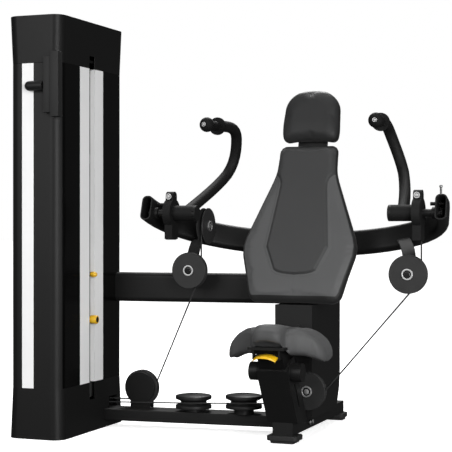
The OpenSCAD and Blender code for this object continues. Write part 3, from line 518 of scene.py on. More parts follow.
print("edge and face tools ready")

# %% Copies that stand for solids
# Points closer than this are one point
MERGE = 0.00002
# Triangles that bend by less than this make one face
FLAT_ANGLE = math.radians(0.6)


def paint(obj, material):
    """One finish all over an object, on the object's own slots."""
    if not obj.data.materials:
        obj.data.materials.append(None)
    for slot in obj.material_slots:
        slot.link = "OBJECT"
        slot.material = material


def whole_faces(obj):
    """Merge loose triangles and join those that lie in one plane."""
    take(obj)
    bpy.ops.object.mode_set(mode="EDIT")
    bpy.ops.mesh.select_all(action="SELECT")
    bpy.ops.mesh.remove_doubles(threshold=MERGE)
    bpy.ops.mesh.dissolve_limited(angle_limit=FLAT_ANGLE)
    bpy.ops.object.mode_set(mode="OBJECT")


def copy_of(node, name):
    """A free copy of a solid's mesh, at the same place."""
    piece = bpy.data.objects.new(name, nodes[node].data.copy())
    piece.data.materials.clear()
    scene.collection.objects.link(piece)
    return piece


def stand_for(piece, node, material):
    """Let a finished piece take a solid's place on its body."""
    paint(piece, material)
    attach(piece, nodes[node]["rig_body"])
    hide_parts(node)
    return piece


print("copying tools ready")

# %% Rounded pieces
FRAME_PIECES = {
    "base_rail": 0.004, "floor_beam": 0.004, "main_column": 0.010, "seat_post": 0.005,
    "pulley_mounts": 0.0015, "tie_tube": 0.0, "back_frame": 0.003, "left_axle": 0.0, "right_axle": 0.0,
}
ARM_PIECES = {"left_hanger": 0.0015, "right_hanger": 0.0015, "left_arm": 0.0, "right_arm": 0.0}
SHELL_PIECES = {"front_shroud": 0.0, "rear_shroud": 0.0, "outer_shroud": 0.0, "accessory_peg": 0.004}
CAP_PIECES = {"top_cap": 0.005, "base_cap": 0.004}
FOOT_PIECES = {"front_foot": 0.004, "rear_foot": 0.004}
# The seat slide takes the deeper black as painted shade under the seat's nose
SHADED_SLIDE_PIECES = {"seat_slide": 0.002}
# Each group of pieces with the radius of their edges, its slot and its finish
ROUNDED = [
    (FRAME_PIECES, "black_frame", satin_black),
    (ARM_PIECES, "black_frame", matte_black),
    (SHELL_PIECES, "black_shell", shell_black),
    (CAP_PIECES, "black_shell", cap_black),
    (FOOT_PIECES, "rubber", foot_rubber),
    (SHADED_SLIDE_PIECES, "black_frame", deep_black),
]
# The shelf on the column's front lies between two levels, and is drawn up behind the cushion's lip
SHELF_PIECE = "main_column"
SHELF_LOWEST = 0.47
SHELF_HIGHEST = 0.53
SHELF_RISE = 0.020


def on_shelf(face):
    return looks_up(face) and SHELF_LOWEST < face.center.z < SHELF_HIGHEST


def raise_shelf(piece):
    """Draw the shelf up, so that the cushion's lip hides its edge."""
    pick_faces(piece, on_shelf)
    bpy.ops.transform.translate(value=(0, 0, SHELF_RISE))
    bpy.ops.object.mode_set(mode="OBJECT")
    print("shelf faces:", sum(face.select for face in piece.data.polygons))


def rounded(node, material, radius):
    """The solid again, with whole faces and rounded edges."""
    piece = copy_of(node, node + "_finished")
    whole_faces(piece)
    if node == SHELF_PIECE:
        raise_shelf(piece)
    if radius:
        bevel(piece, radius)
    smooth(piece, angle=35)
    apply(piece, "WEIGHTED_NORMAL", keep_sharp=True)
    return stand_for(piece, node, material)


def polish_and_shade_side(shell):
    """A second finish on the faces that look to the right, the tower's near side: glossier, and darker as
    painted shade.
    """
    shell.data.materials.append(shaded_side_gloss)
    for face in shell.data.polygons:
        face.material_index = int(face.normal.x > FACING)


for group, slot, material in ROUNDED:
    for node, radius in group.items():
        piece = rounded(node, material, radius)
        # Shell pieces get the darker, glossier copy on their right-facing faces, as painted shade
        if group is SHELL_PIECES:
            polish_and_shade_side(piece)
print("rounded pieces:", sum(len(group) for group, slot, material in ROUNDED))

# %% [markdown]
# ## Open ends of the bow
# The bow is a bent box tube, and its ends are cut square and left open. On the copy, each end face is inset
# by the tube's wall and the inner face is pushed in, which leaves a rim that catches the light and a dark
# hollow behind it.

# %% Bow with open ends
TUBE_WALL = 0.006
TUBE_DEPTH = 0.070
BOW_EDGE = 0.0012
bow = copy_of("bow_beam", "bow_beam_finished")
whole_faces(bow)
foremost = sorted(bow.data.polygons, key=lambda face: face.center.y)[:2]
for end in [face.index for face in foremost]:
    pick_faces(bow, lambda face: face.index == end)
    sink(TUBE_WALL, TUBE_DEPTH)
    bpy.ops.object.mode_set(mode="OBJECT")
bevel(bow, BOW_EDGE, segments=2, sharp=60)
smooth(bow)
stand_for(bow, "bow_beam", satin_black)
print("bow faces:", len(bow.data.polygons))

# %% [markdown]
# ## Pieces that keep their solid
# Turned and drawn pieces already have their true shape, so they keep their solid and only get a finish.

# %% Finishes on solids
PLAIN = {
    "guide_rods": bright_steel, "stack_cushions": foot_rubber, "resting_plates": plate_iron,
    "lifted_plates": plate_iron, "top_plate": plate_iron, "cable_yoke": dark_steel,
    "top_pulley_frame": deep_black, "lower_pulley_axle": dark_steel, "tower_frame": deep_black,
    "front_light_panel": strip_light, "side_light_panels": strip_light,
    "hand_flanges_left": grip_rubber, "hand_flanges_right": grip_rubber,
    "left_cable": cable_coat, "top_lift_cable": cable_coat,
}
for node, material in PLAIN.items():
    paint(nodes[node], material)

# Each pulley with the axis of its axle: 0 across the machine, 1 along it
PULLEY_AXES = {
    "left_hanging_pulley": 1, "right_hanging_pulley": 1, "base_pulley": 1, "column_pulley": 1,
    "left_lower_pulley": 1, "right_lower_pulley": 1, "left_sheave": 0, "rear_top_pulley": 0,
    "front_top_pulley": 0,
}
PULLEY_LEVEL = 0.021
for node, axis in PULLEY_AXES.items():
    low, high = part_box(node)
    paint(nodes[node], turned_nylon(node + "_nylon", PULLEY_LEVEL, (low + high) / 2, axis))
print("solids with a finish:", len(PLAIN) + len(PULLEY_AXES))

# %% [markdown]
# ## Cables that are pulled
# Four cables end on something that moves: the right arm's lever, the weight stack and the yoke. Their ends
# would have to go along while the rest stays in the grooves. Here each copy is only shaded smooth, given
# the cable's finish and fixed where its solid stood, on no body, so its ends stay.

# %% Pulled cables
pulley_low, pulley_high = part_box("right_hanging_pulley")
ARM_CABLE_STILL = (pulley_low.z + pulley_high.z) / 2
# Each cable, the body that pulls it, whether the top end is held, and the height from which it is still
PULLED = [
    ("right_cable", "right_arm", True, ARM_CABLE_STILL),
    ("front_lift_cable", "weight_stack", False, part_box("front_lift_cable")[1].z),
    ("rear_lift_cable", "cable_yoke", False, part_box("rear_lift_cable")[1].z),
    ("yoke_cables", "cable_yoke", True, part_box("yoke_cables")[0].z),
]
for node, body, top_held, still in PULLED:
    low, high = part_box(node)
    run = copy_of(node, node + "_run")
    smooth(run)
    paint(run, cable_coat)
    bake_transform(run)
    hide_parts(node)
print("pulled cables:", len(PULLED))

# %% [markdown]
# ## Hubs, bolts and screws
# Each pulley shows a bright washer with a bolt in its middle, each lever a bolt, and each ball a
# countersunk screw. They are one shape at several sizes: a short cylinder whose face is inset, sunk, inset
# again and drawn out to a head.

# %% Washer with a bolt
HUB_SIDES = 48
# Shares of a washer's radius: the bright ring, the gap round the bolt, the bolt's bright dot, the edge
RING_SHARE = 0.28
GAP_SHARE = 0.22
DOT_SHARE = 0.16
EDGE_SHARE = 0.03
# The dark finish starts this much further in than the ring's inner edge
RING_MARGIN = 0.02
# Shares of its thickness: how deep the face is sunk, and how far the bolt's head comes up again
SINK_SHARE = 0.6
HEAD_SHARE = 0.5


def hub(name, centre, facing, radius, thick, body):
    """A bright washer round a sunk bolt, facing one way from a place."""
    bpy.ops.object.select_all(action="DESELECT")
    facing = Vector(facing).normalized()
    middle = Vector(centre) + facing * thick / 2
    bpy.ops.mesh.primitive_cylinder_add(vertices=HUB_SIDES, radius=radius, depth=thick, location=(0, 0, 0))
    piece = bpy.context.object
    piece.name = name
    pick_faces(piece, looks_up)
    sink(radius * RING_SHARE, thick * SINK_SHARE)
    sink(radius * GAP_SHARE, -thick * HEAD_SHARE)
    bpy.ops.object.mode_set(mode="OBJECT")
    bevel(piece, radius * EDGE_SHARE, segments=2, sharp=50)
    smooth(piece)
    piece.data.materials.append(washer_zinc)
    piece.data.materials.append(dark_steel)
    rim = radius * (1 - RING_SHARE) - radius * RING_MARGIN
    for face in piece.data.polygons:
        face.material_index = int(radius * DOT_SHARE <= face.center.xy.length <= rim)
    turn = facing.to_track_quat("Z", "Y").to_matrix().to_4x4()
    piece.data.transform(Matrix.Translation(middle) @ turn)
    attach(piece, body)


print("washer sides:", HUB_SIDES)

# %% Hubs on the pulleys
HUB_R = 0.0215
HUB_T = 0.0065
HUB_GAP = 0.0003
FRONT = (0, -1, 0)
RIGHT = (1, 0, 0)
PULLEY_HUBS = {
    "left_hanging_pulley": FRONT, "right_hanging_pulley": FRONT, "column_pulley": FRONT, "left_sheave": RIGHT,
}
for node, facing in PULLEY_HUBS.items():
    low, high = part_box(node)
    half = Vector([abs(part) * (end - start) / 2 for part, start, end in zip(facing, low, high)])
    centre = (low + high) / 2 + Vector(facing) * (half.length + HUB_GAP)
    hub(node + "_hub", centre, facing, HUB_R, HUB_T, "frame")
print("pulley hubs:", len(PULLEY_HUBS))

# %% Screws and bolts
BALL_R = 0.029
BALL_X = 0.3401
BALL_Z = 1.216
GRIP_TURN = math.radians(4)
SCREW_R = 0.0085
SCREW_T = 0.003
LEVER_BOLT = Vector((0.498, 0.0445, 0.935))
LEVER_BOLT_R = 1.4 * SCREW_R
for side, sign in (("left", -1), ("right", 1)):
    low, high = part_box("hand_flanges_" + side)
    tip = Vector((sign * math.sin(GRIP_TURN), -math.cos(GRIP_TURN), 0))
    ball = Vector((sign * BALL_X, low.y + BALL_R, BALL_Z))
    hub(side + "_ball_screw", ball + tip * (BALL_R - SCREW_T / 2), tip, SCREW_R, SCREW_T, side + "_arm")
    bolt = (sign * LEVER_BOLT.x, LEVER_BOLT.y, LEVER_BOLT.z)
    hub(side + "_lever_bolt", bolt, FRONT, LEVER_BOLT_R, SCREW_T, side + "_arm")

RAIL_BOLTS_Y = (0.174, 0.206)
rail_low, rail_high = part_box("base_rail")
for number, y in enumerate(RAIL_BOLTS_Y):
    place = (rail_high.x, y, (rail_low.z + rail_high.z) / 2)
    hub("rail_bolt_%d" % number, place, RIGHT, SCREW_R, SCREW_T, "frame")

# %% [markdown]
# ## Turned pieces
# Pins, knobs and caps are turned on a lathe. By hand that is a short cylinder whose end face is drawn out
# and resized again and again, one step for each shoulder, so a list of steps describes the whole piece.

# %% Lathe
LATHE_SIDES = 40
LATHE_EDGE = 0.0008
UP = (0, 0, 1)


def turned(name, steps, foot, axis, tones):
    """A lathe piece from steps of (radius, length, tone), with a place for its foot and a direction."""
    bpy.ops.object.select_all(action="DESELECT")
    radius, length, tone_number = steps[0]
    middle = (0, 0, length / 2)
    bpy.ops.mesh.primitive_cylinder_add(vertices=LATHE_SIDES, radius=radius, depth=length, location=middle)
    piece = bpy.context.object
    piece.name = name
    bpy.ops.object.transform_apply(location=True)
    for material in tones:
        piece.data.materials.append(material)
    for face in piece.data.polygons:
        face.material_index = tone_number
    pick_faces(piece, looks_up)
    for wide, long, tone_number in steps[1:]:
        bpy.ops.mesh.extrude_region_move(TRANSFORM_OT_translate={"value": (0, 0, long)})
        share = wide / radius
        bpy.ops.transform.resize(value=(share, share, 1), center_override=(0, 0, 0))
        radius = wide
        bpy.ops.object.mode_set(mode="OBJECT")
        ring = {v for face in piece.data.polygons if face.select for v in face.vertices}
        for face in piece.data.polygons:
            if face.select or len(ring.intersection(face.vertices)) == 2:
                face.material_index = tone_number
        bpy.ops.object.mode_set(mode="EDIT")
    bpy.ops.object.mode_set(mode="OBJECT")
    bevel(piece, LATHE_EDGE, segments=2, sharp=30)
    smooth(piece)
    turn = Vector(axis).to_track_quat("Z", "Y").to_matrix().to_4x4()
    piece.data.transform(Matrix.Translation(foot) @ turn)
    return piece


def settle(piece, body, slot, *stands_for):
    """Let a piece with its own finishes ride on a body."""
    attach(piece, body)
    if stands_for:
        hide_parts(*stands_for)


print("lathe ready")

# %% Pins
PIN_TONES = (bright_steel, deep_black, signal_yellow)
PIN_R = 0.005
# Rod, collar, yellow knob with a hollow end, and the button in it
SELECTOR_STEPS = [
    (PIN_R, 0.090, 0), (0.011, 0.0, 1), (0.011, 0.012, 1),
    (0.013, 0.0, 2), (0.0165, 0.004, 2), (0.0175, 0.012, 2), (0.0175, 0.012, 2), (0.0155, 0.004, 2),
    (0.0115, 0.0, 2), (0.0105, -0.007, 1), (0.004, 0.0, 1), (0.003, 0.004, 1),
]
# Rod, collar and yellow tip
ADD_ON_STEPS = [
    (PIN_R, 0.040, 0), (0.0075, 0.0, 1), (0.0085, 0.022, 1),
    (0.0095, 0.0, 2), (0.0115, 0.006, 2), (0.011, 0.010, 2), (0.0085, 0.006, 2), (0.004, 0.004, 2),
]
for node, steps in (("selector_pin", SELECTOR_STEPS), ("add_on_pin", ADD_ON_STEPS)):
    low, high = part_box(node)
    foot = Vector((low.x, (low.y + high.y) / 2, (low.z + high.z) / 2))
    settle(turned(node + "_turned", steps, foot, RIGHT, PIN_TONES), nodes[node]["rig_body"], "yellow", node)
print("pin steps:", len(SELECTOR_STEPS), "and", len(ADD_ON_STEPS))

# %% Flat pulleys and the stop on the bow
FLAT_PULLEY_LEVEL = 0.010
flat_nylon = turned_nylon("flat_pulley_nylon", FLAT_PULLEY_LEVEL, centre=(0, 0, 0), axis=2)
# Lower rim, groove, upper rim, and the cap with its bolt
FLAT_PULLEY_STEPS = [
    (0.0725, 0.012, 0), (0.052, 0.009, 0), (0.052, 0.008, 0), (0.0725, 0.009, 0), (0.0725, 0.012, 0),
    (0.068, 0.002, 1), (0.050, 0.003, 1), (0.016, 0.001, 1), (0.015, 0.003, 1),
]
for node in ("flat_pulley_left", "flat_pulley_right"):
    low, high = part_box(node)
    foot = Vector(((low.x + high.x) / 2, (low.y + high.y) / 2, low.z))
    wheel = turned(node + "_turned", FLAT_PULLEY_STEPS, foot, UP, (flat_nylon, cap_black))
    settle(wheel, nodes[node]["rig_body"], "pulley", node)

STOP_STEPS = [(0.004, 0.026, 0), (0.006, 0.0, 0), (0.006, 0.006, 0), (0.004, 0.003, 0)]
BOW_STOP = (0.590, 0.036, 0.936)
settle(turned("bow_stop_pin", STOP_STEPS, BOW_STOP, UP, (dark_steel,)), "frame", "steel")

# %% [markdown]
# ## Height lever
# The lever under the seat is a moulded paddle for two fingers: thick in the middle, with wings that droop
# and sweep back. A block is cut into a grid, and each point is then moved by how far it is from the middle.


# %% Height lever
def block(name, middle, size):
    """A plain block, its place and size in its mesh."""
    bpy.ops.object.select_all(action="DESELECT")
    bpy.ops.mesh.primitive_cube_add(size=1, location=middle, scale=size)
    piece = bpy.context.object
    piece.name = name
    bpy.ops.object.transform_apply(location=True, scale=True)
    return piece


WING_DROOP = 0.016
WING_SWEEP = 0.016
# Shares of the thickness lost at the wings' ends and at the front edge
WING_THIN = 0.55
FRONT_THIN = 0.35
PADDLE_T = 0.015
PADDLE_CUTS = 11
PADDLE_EDGE = 0.0025
lever_low, lever_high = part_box("seat_lever")
lever_middle = (lever_low + lever_high) / 2
lever_size = lever_high - lever_low
half = lever_size.x / 2
paddle = block("lever_paddle", lever_middle, (lever_size.x, lever_size.y, PADDLE_T))
bpy.ops.object.mode_set(mode="EDIT")
bpy.ops.mesh.select_all(action="SELECT")
bpy.ops.mesh.subdivide(number_cuts=PADDLE_CUTS)
bpy.ops.object.mode_set(mode="OBJECT")
for vertex in paddle.data.vertices:
    out = (vertex.co.x - lever_middle.x) / half
    ahead = (lever_high.y - vertex.co.y) / lever_size.y
    thick = (vertex.co.z - lever_middle.z) * (1 - WING_THIN * abs(out)) * (1 - FRONT_THIN * ahead)
    vertex.co.z = lever_middle.z + thick - WING_DROOP * out * out * ahead
    vertex.co.y += WING_SWEEP * out * out * ahead
bevel(paddle, PADDLE_EDGE)
smooth(paddle, angle=50)
stand_for(paddle, "seat_lever", signal_yellow)
print("paddle faces:", len(paddle.data.polygons))

# %% [markdown]
# ## Accessory box
# Two upright pockets hang side by side on the tower's front corner, open at the bottom. Each is a block
# whose lower face is inset by the wall and pushed up, and the two are joined into one piece.

# %% Accessory box
POCKET_WALL = 0.003
POCKET_DEPTH = 0.060
POCKET_EDGE = 0.0022
# Share of the width that the left pocket takes, and half the gap between the two
POCKET_SPLIT = 0.48
POCKET_GAP = 0.0006
# The left pocket is smaller: it stands further back, starts higher and ends lower
SMALL_BACK = 0.010
SMALL_FOOT = 0.016
SMALL_TOP = 0.018
box_low, box_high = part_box("accessory_box")
split_x = box_low.x + POCKET_SPLIT * (box_high.x - box_low.x)
small_low = Vector((box_low.x, box_low.y + SMALL_BACK, box_low.z + SMALL_FOOT))
small_high = Vector((split_x - POCKET_GAP, box_high.y, box_high.z - SMALL_TOP))
large_low = Vector((split_x + POCKET_GAP, box_low.y, box_low.z))
pockets = []
for low, high in ((small_low, small_high), (large_low, box_high)):
    pocket = block("accessory_pockets", (low + high) / 2, high - low)
    pick_faces(pocket, looks_down)
    sink(POCKET_WALL, POCKET_DEPTH)
    bpy.ops.object.mode_set(mode="OBJECT")
    bevel(pocket, POCKET_EDGE)
    pockets.append(pocket)
take(pockets[0])
pockets[1].select_set(True)
bpy.ops.object.join()
smooth(pockets[0], angle=35)
stand_for(pockets[0], "accessory_box", pocket_grey)
print("pocket faces:", len(pockets[0].data.polygons))

# %% [markdown]
# ## Cushions
# Upholstery is foam under vinyl: the foam pushes out, the vinyl holds back, and the seams pull in. That
# balance is what the cloth solver finds, so each cushion starts a little too small, is remeshed into even
# cells, and is blown up until the cap on its travel stops it. Seams come afterwards, because even cells
# can't hold a thin line.

# %% Cushion maker
VOXEL = 0.006
FOAM_PRESSURE = 4.0
FOAM_FRAMES = 20
SMOOTH_FACTOR = 0.5
CELL_SMOOTHING = 3


def swell(pad, cap):
    """Blow a closed cushion up with the cloth solver, no point going further than the cap."""
    start = [v.co.copy() for v in pad.data.vertices]
    take(pad)
    cloth = pad.modifiers.new("foam", "CLOTH")
    cloth.settings.use_pressure = True
    cloth.settings.uniform_pressure_force = FOAM_PRESSURE
    cloth.settings.effector_weights.gravity = 0
    for number in range(1, FOAM_FRAMES + 1):
        scene.frame_set(number)
    bpy.ops.object.modifier_apply(modifier=cloth.name)
    scene.frame_set(1)
    for vertex, was in zip(pad.data.vertices, start):
        move = vertex.co - was
        if move.length > cap:
            vertex.co = was + move * (cap / move.length)


def keep_largest(piece):
    """Keep only the largest of the loose shells in a mesh."""
    take(piece)
    bpy.ops.mesh.separate(type="LOOSE")
    shells = sorted(bpy.context.selected_objects, key=lambda o: o.dimensions.length)
    for spare in shells[:-1]:
        bpy.data.objects.remove(spare)
    return shells[-1]


def cushion(node, name, shrink, cap, even=1, largest=False):
    """A solid's copy made smaller, remeshed into even cells, swollen up to a cap and made even again."""
    pad = copy_of(node, name)
    take(pad)
    bpy.ops.object.mode_set(mode="EDIT")
    bpy.ops.mesh.select_all(action="SELECT")
    bpy.ops.mesh.remove_doubles(threshold=MERGE)
    bpy.ops.mesh.normals_make_consistent(inside=False)
    bpy.ops.transform.shrink_fatten(value=-shrink)
    bpy.ops.object.mode_set(mode="OBJECT")
    if largest:
        pad = keep_largest(pad)
        pad.name = name
    apply(pad, "REMESH", mode="VOXEL", voxel_size=VOXEL)
    apply(pad, "SMOOTH", factor=SMOOTH_FACTOR, iterations=CELL_SMOOTHING)
    swell(pad, cap)
    apply(pad, "SMOOTH", factor=SMOOTH_FACTOR, iterations=even)
    apply(pad, "SUBSURF", levels=1, render_levels=1)
    take(pad)
    bpy.ops.object.shade_smooth()
    return pad


def limited(value):
    """A share, limited to between nought and one."""
    return max(0.0, min(1.0, value))


def groove(distance, width, depth):
    """How far a seam pulls the vinyl in at a distance from its line."""
    return depth * math.exp(-(distance / width) ** 2)


print("cushion cells: %.0f mm" % (VOXEL * 1000))

# %% [markdown]
# ## Vinyl
# Upholstery vinyl is a film with a printed leather grain: small cells with soft ridges, and long faint
# wrinkles. Real vinyl is a little shinier where it is stretched; here its shine only drifts with the
# wrinkles.
# The backrest has two colours, so its finish takes a mask.

# %% Vinyl finish
EDGE_LEVEL = 0.010
# Vinyl is very slightly cool
VINYL_WARM = -0.01


def vinyl(name, level, second=None, mask=None, edge=None):
    """Grained vinyl of one colour, or of two with a mask drawn from the place on the pad, and a dark edge."""
    skin = Finish(name, Specular_IOR_Level=0.22, Sheen_Weight=0.05)
    grain = skin.cells(scale=420.0)
    wrinkle = skin.noise(scale=22.0, detail=6.0)
    cloud = skin.noise(scale=6.0, detail=3.0)
    base = skin.mottle(cloud, level, least=0.9, most=1.1, warm=VINYL_WARM)
    if mask:
        other = skin.mottle(cloud, second, least=0.9, most=1.1, warm=VINYL_WARM)
        base = skin.mix(mask(skin), base, other)
    if edge:
        base = skin.mix(edge(skin), base, tone(EDGE_LEVEL))
    ridges = skin.clamp(1 - grain * 9.0)
    skin.feed("Base Color", skin.mix(ridges * 0.25, base, tone(level * 0.5)))
    skin.feed("Roughness", 0.52 + (wrinkle - 0.5) * 0.16)
    skin.bump(grain * 0.8 + wrinkle * 0.5, distance=0.0005, strength=0.5)
    return skin.material


print("edge vinyl level:", EDGE_LEVEL)

# %% [markdown]
# ### Backrest
# The back is a shield, widest at the shoulder blades and thicker at the foot, so its face leans a little
# more than the plate behind it. A dark centre panel runs down it, and a lighter panel is sewn round it. The
# seam between them is a curve of half widths over the height, used twice: once to shape the mesh, once to
# colour it. The side walls are black.

# %% Backrest plane and seam
BACK_LEAN = math.radians(15)
BACK_FOOT = Vector((0.0, 0.194, 0.515))
BACK_UP = Vector((0.0, math.sin(BACK_LEAN), math.cos(BACK_LEAN)))
BACK_OUT = Vector((0.0, -math.cos(BACK_LEAN), math.sin(BACK_LEAN)))
BACK_LENGTH = 0.640
# How far the pad's face stands out from the plate's rear at the foot, and how much less per metre up the pad
FACE_FOOT = 0.112
FACE_FALL = 0.084
# Half width that the seam's curve is drawn in
FULL_WIDTH = 0.20
# Height up the pad as a share, and half width of the dark panel there
PANEL_SEAM = [
    (0.143, 0.0), (0.148, 0.045), (0.158, 0.072), (0.172, 0.0865), (0.32, 0.1266), (0.55, 0.109),
    (0.70, 0.098), (0.735, 0.0975), (0.765, 0.104), (0.785, 0.115), (0.80, 0.131), (0.82, 0.160),
    (1.2, 0.198),
]


def from_seam(x, up):
    """Distance from the panel's seam on the pad's plane, negative inside the panel."""
    point = Vector((abs(x), up))
    line = [Vector((half, share * BACK_LENGTH)) for share, half in PANEL_SEAM]
    near = 1.0
    inside = False
    for start, end in zip(line, line[1:]):
        step = end - start
        share = limited((point - start).dot(step) / step.length_squared)
        near = min(near, (point - start - step * share).length)
        if start.y <= up < end.y:
            inside = abs(x) < start.x + step.x * (up - start.y) / step.y
    return -near if inside else near


print("seam points:", len(PANEL_SEAM))

# %% Backrest colours
# How fast a colour changes across its edge, per metre
PANEL_SHARP = 700.0
WALL_SHARP = 400.0
# Share of the face's distance behind which the side wall is black, and the height below which the face is too
BLACK_SHARE = 0.92
BAND_TOP = 0.0094


def along(finish, direction, origin):
    """A place on the object measured along a direction."""
    offset = finish.add("ShaderNodeVectorMath", {"operation": "SUBTRACT"}, {0: finish.place, 1: origin})
    sockets = {0: offset, 1: direction}
    return finish.add("ShaderNodeVectorMath", {"operation": "DOT_PRODUCT"}, sockets, out="Value")


def panel_mask(finish):
    """One inside the dark panel."""
    height = along(finish, BACK_UP, BACK_FOOT) / BACK_LENGTH
    curve = [(0.0, 0.0)] + [(min(1.0, share), half / FULL_WIDTH) for share, half in PANEL_SEAM]
    half = finish.add("ShaderNodeFloatCurve", {"curve": curve}, {"Value": height}) * FULL_WIDTH
    return finish.step(half - abs(finish.axes()[0]), PANEL_SHARP)


def back_wall(finish):
    """One on the side walls, behind the face, and on a band along the foot."""
    up = along(finish, BACK_UP, BACK_FOOT)
    face = FACE_FOOT - up * FACE_FALL
    wall = finish.step(face * BLACK_SHARE - along(finish, BACK_OUT, BACK_FOOT), WALL_SHARP)
    band = finish.step(BAND_TOP - up, WALL_SHARP)
    return finish.clamp(wall + band)


back_vinyl = vinyl("two_tone_vinyl", level=0.072, second=0.036, mask=panel_mask, edge=back_wall)
print("backrest finish:", back_vinyl.name)

# %% Backrest cushion
# Height up the pad as a share, and how much wider the soft pad is there than its even cells came out
BACK_GROW = [(-0.1, 1.08), (0.0, 1.075), (0.10, 1.06), (0.35, 1.04), (0.80, 1.05), (1.0, 1.075), (1.1, 1.075)]
# The lip under the face hangs lower, and the top stands higher, over this length from each end
LIP_DROP = 0.006
TOP_RISE = 0.004
END_LENGTH = 0.060
# Share of the face's distance at which the side wall ends, and the depth over which the face's work sets in
WALL_SHARE = 0.86
FACE_DEPTH = 0.008
# The dark panel's height over the rest, the width of its slope, and the seam's groove
PANEL_RISE = 0.010
PANEL_SLOPE = 0.02
SEAM_WIDTH = 0.004
SEAM_DEPTH = 0.0035


def between(table, share):
    """A value from a table of (share, value), on straight lines."""
    for (low, first), (high, second) in zip(table, table[1:]):
        if low <= share <= high:
            return first + (second - first) * (share - low) / (high - low)
    return table[-1][1]


back_pad = cushion("backrest_pads", "backrest_cushion", shrink=0.003, cap=0.007, largest=True)
for vertex in back_pad.data.vertices:
    offset = vertex.co - BACK_FOOT
    up = offset.dot(BACK_UP)
    vertex.co.x *= between(BACK_GROW, up / BACK_LENGTH)
    vertex.co -= BACK_UP * LIP_DROP * max(0.0, 1 - up / END_LENGTH)
    vertex.co += BACK_UP * TOP_RISE * max(0.0, 1 - (BACK_LENGTH - up) / END_LENGTH)
    front = offset.dot(BACK_OUT) - WALL_SHARE * (FACE_FOOT - FACE_FALL * up)
    if front > 0:
        away = from_seam(vertex.co.x, up)
        rise = PANEL_RISE * limited(0.5 - away / PANEL_SLOPE)
        share = min(1.0, front / FACE_DEPTH)
        vertex.co += BACK_OUT * share * (rise - groove(away, SEAM_WIDTH, SEAM_DEPTH))
stand_for(back_pad, "backrest_pads", back_vinyl)
xs = [v.co.x for v in back_pad.data.vertices]
zs = [v.co.z for v in back_pad.data.vertices]
print("backrest: half width %.3f, from %.3f to %.3f m" % (max(xs), min(zs), max(zs)))

# %% [markdown]
# ### Headrest
# A small domed block of the darker vinyl, with black side walls and underside like the back's. It flares
# and hangs a little at its foot.

# %% Headrest
# Distance out from the back's plane at which the black wall ends, and how fast it changes there, per metre
HEAD_WALL = 0.052
HEAD_SHARP = 90.0
HEAD_FLARE = 0.075
# How far the foot hangs, over this share of the height
HEAD_DROP = 0.007
HEAD_DROP_SHARE = 0.4


def head_wall(finish):
    """One on the side walls, behind the face."""
    return finish.step(HEAD_WALL - along(finish, BACK_OUT, BACK_FOOT), HEAD_SHARP)


head_pad = cushion("headrest_pad", "headrest_cushion", shrink=0.003, cap=0.007, even=6)
head_low, head_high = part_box("headrest_pad")
for vertex in head_pad.data.vertices:
    share = (vertex.co.z - head_low.z) / (head_high.z - head_low.z)
    vertex.co.x *= 1 + HEAD_FLARE * max(0.0, 1 - share)
    vertex.co.z -= HEAD_DROP * max(0.0, 1 - share / HEAD_DROP_SHARE)
dark_vinyl = vinyl("dark_vinyl", level=0.022, edge=head_wall)
stand_for(head_pad, "headrest_pad", dark_vinyl)
print("headrest cells:", len(head_pad.data.polygons))

# %% [markdown]
# ### Seat
# The seat is a saddle of three lobes. The middle lobe carries the rider and ends in a nose, the side lobes
# hang, and two deep seams part them. Under the nose the cover is cut in an arch, so that fingers reach the
# height lever.

# %% Seat
# The seams' distance from the middle, their groove, and where they show: above a level and along the front
SEAM_X = 0.066
SADDLE_SEAM_WIDTH = 0.008
SADDLE_SEAM_DEPTH = 0.010
SADDLE_SEAM_LEVEL = 0.02
SADDLE_SEAM_FRONT = 0.05
# The pad's depth, and the height over its floor of the point that the seams are pulled to
SEAT_DEPTH = 0.072
PULL_HEIGHT = 0.03
# The arch under the nose, its length and its height
ARCH_RISE = 0.024
ARCH_LENGTH = 0.070
ARCH_HEIGHT = 0.05
# The side lobes bend down from this distance, by this much at their tips, about a core line below the top
LOBE_X = 0.082
LOBE_HANG = 0.062
LOBE_CORE = 0.036
# Their lower edge at the front hangs further, most beside the seam, from this far inside it
LOBE_DROP = 0.017
SEAM_DROP = 0.014
LOBE_START = 0.014
# The drop sets in over this width, this height about the core line and this length ahead of its end
LOBE_WIDTH = 0.020
LOBE_HEIGHT = 0.030
LOBE_LENGTH = 0.080
LOBE_END = 0.030
# The middle lobe's nose stands higher, as far back as this, and sets in over this length
NOSE_RISE = 0.011
NOSE_END = -0.060
NOSE_LENGTH = 0.090

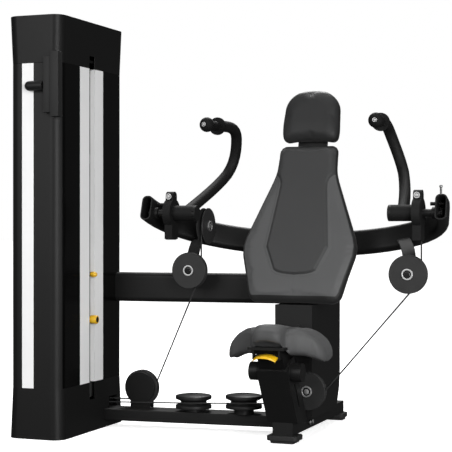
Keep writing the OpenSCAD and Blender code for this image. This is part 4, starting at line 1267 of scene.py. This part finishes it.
seat_pad = cushion("seat_pad", "seat_cushion", shrink=0.002, cap=0.006)
seat_low, seat_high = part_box("seat_pad")
seat_floor = seat_high.z - SEAT_DEPTH
seat_middle = Vector((0, (seat_low.y + seat_high.y) / 2, seat_floor + PULL_HEIGHT))
for vertex in seat_pad.data.vertices:
    x, y, z = vertex.co
    if z > seat_floor + SADDLE_SEAM_LEVEL or y < seat_low.y + SADDLE_SEAM_FRONT:
        pull = groove(abs(x) - SEAM_X, SADDLE_SEAM_WIDTH, SADDLE_SEAM_DEPTH)
        vertex.co += (seat_middle - vertex.co).normalized() * pull
    out = limited((abs(x) - SEAM_X + LOBE_START) / LOBE_WIDTH)
    hang = limited((abs(x) - LOBE_X) / (seat_high.x - LOBE_X))
    core = seat_high.z - LOBE_CORE - LOBE_HANG * hang * hang
    under = limited((core - z) / LOBE_HEIGHT + 0.5)
    fore = limited((LOBE_END - y) / LOBE_LENGTH)
    vertex.co.z -= (LOBE_DROP + SEAM_DROP * (1 - hang)) * out * under * fore
    if abs(x) < SEAM_X:
        nose = limited((NOSE_END - y) / NOSE_LENGTH)
        vertex.co.z += NOSE_RISE * (1 - (x / SEAM_X) ** 4) * (1 - under) * nose
        ahead = max(0.0, 1 - (y - seat_low.y) / ARCH_LENGTH)
        below = max(0.0, 1 - (z - seat_floor) / ARCH_HEIGHT)
        vertex.co.z += ARCH_RISE * (1 - (x / SEAM_X) ** 2) * min(1.0, 2 * ahead) * below
seat_vinyl = vinyl("seat_vinyl", level=0.062)
stand_for(seat_pad, "seat_pad", seat_vinyl)
print("seat cells:", len(seat_pad.data.polygons))

# %% [markdown]
# ## The floor's own finish
# The floor glows a little by itself, so that it reaches the backdrop's white and only a faint shadow stays
# under the machine.

# %% Floor finish
pale = Finish("pale_studio_floor", Specular_IOR_Level=0.0, Roughness=0.9, Emission_Strength=0.72)
pale.feed("Emission Color", tone(1.0))
pale.feed("Base Color", pale.mix(pale.noise(scale=0.6, detail=2.0), tone(0.90), tone(0.94)))
paint(floor, pale.material)
print("materials in all:", len(bpy.data.materials))
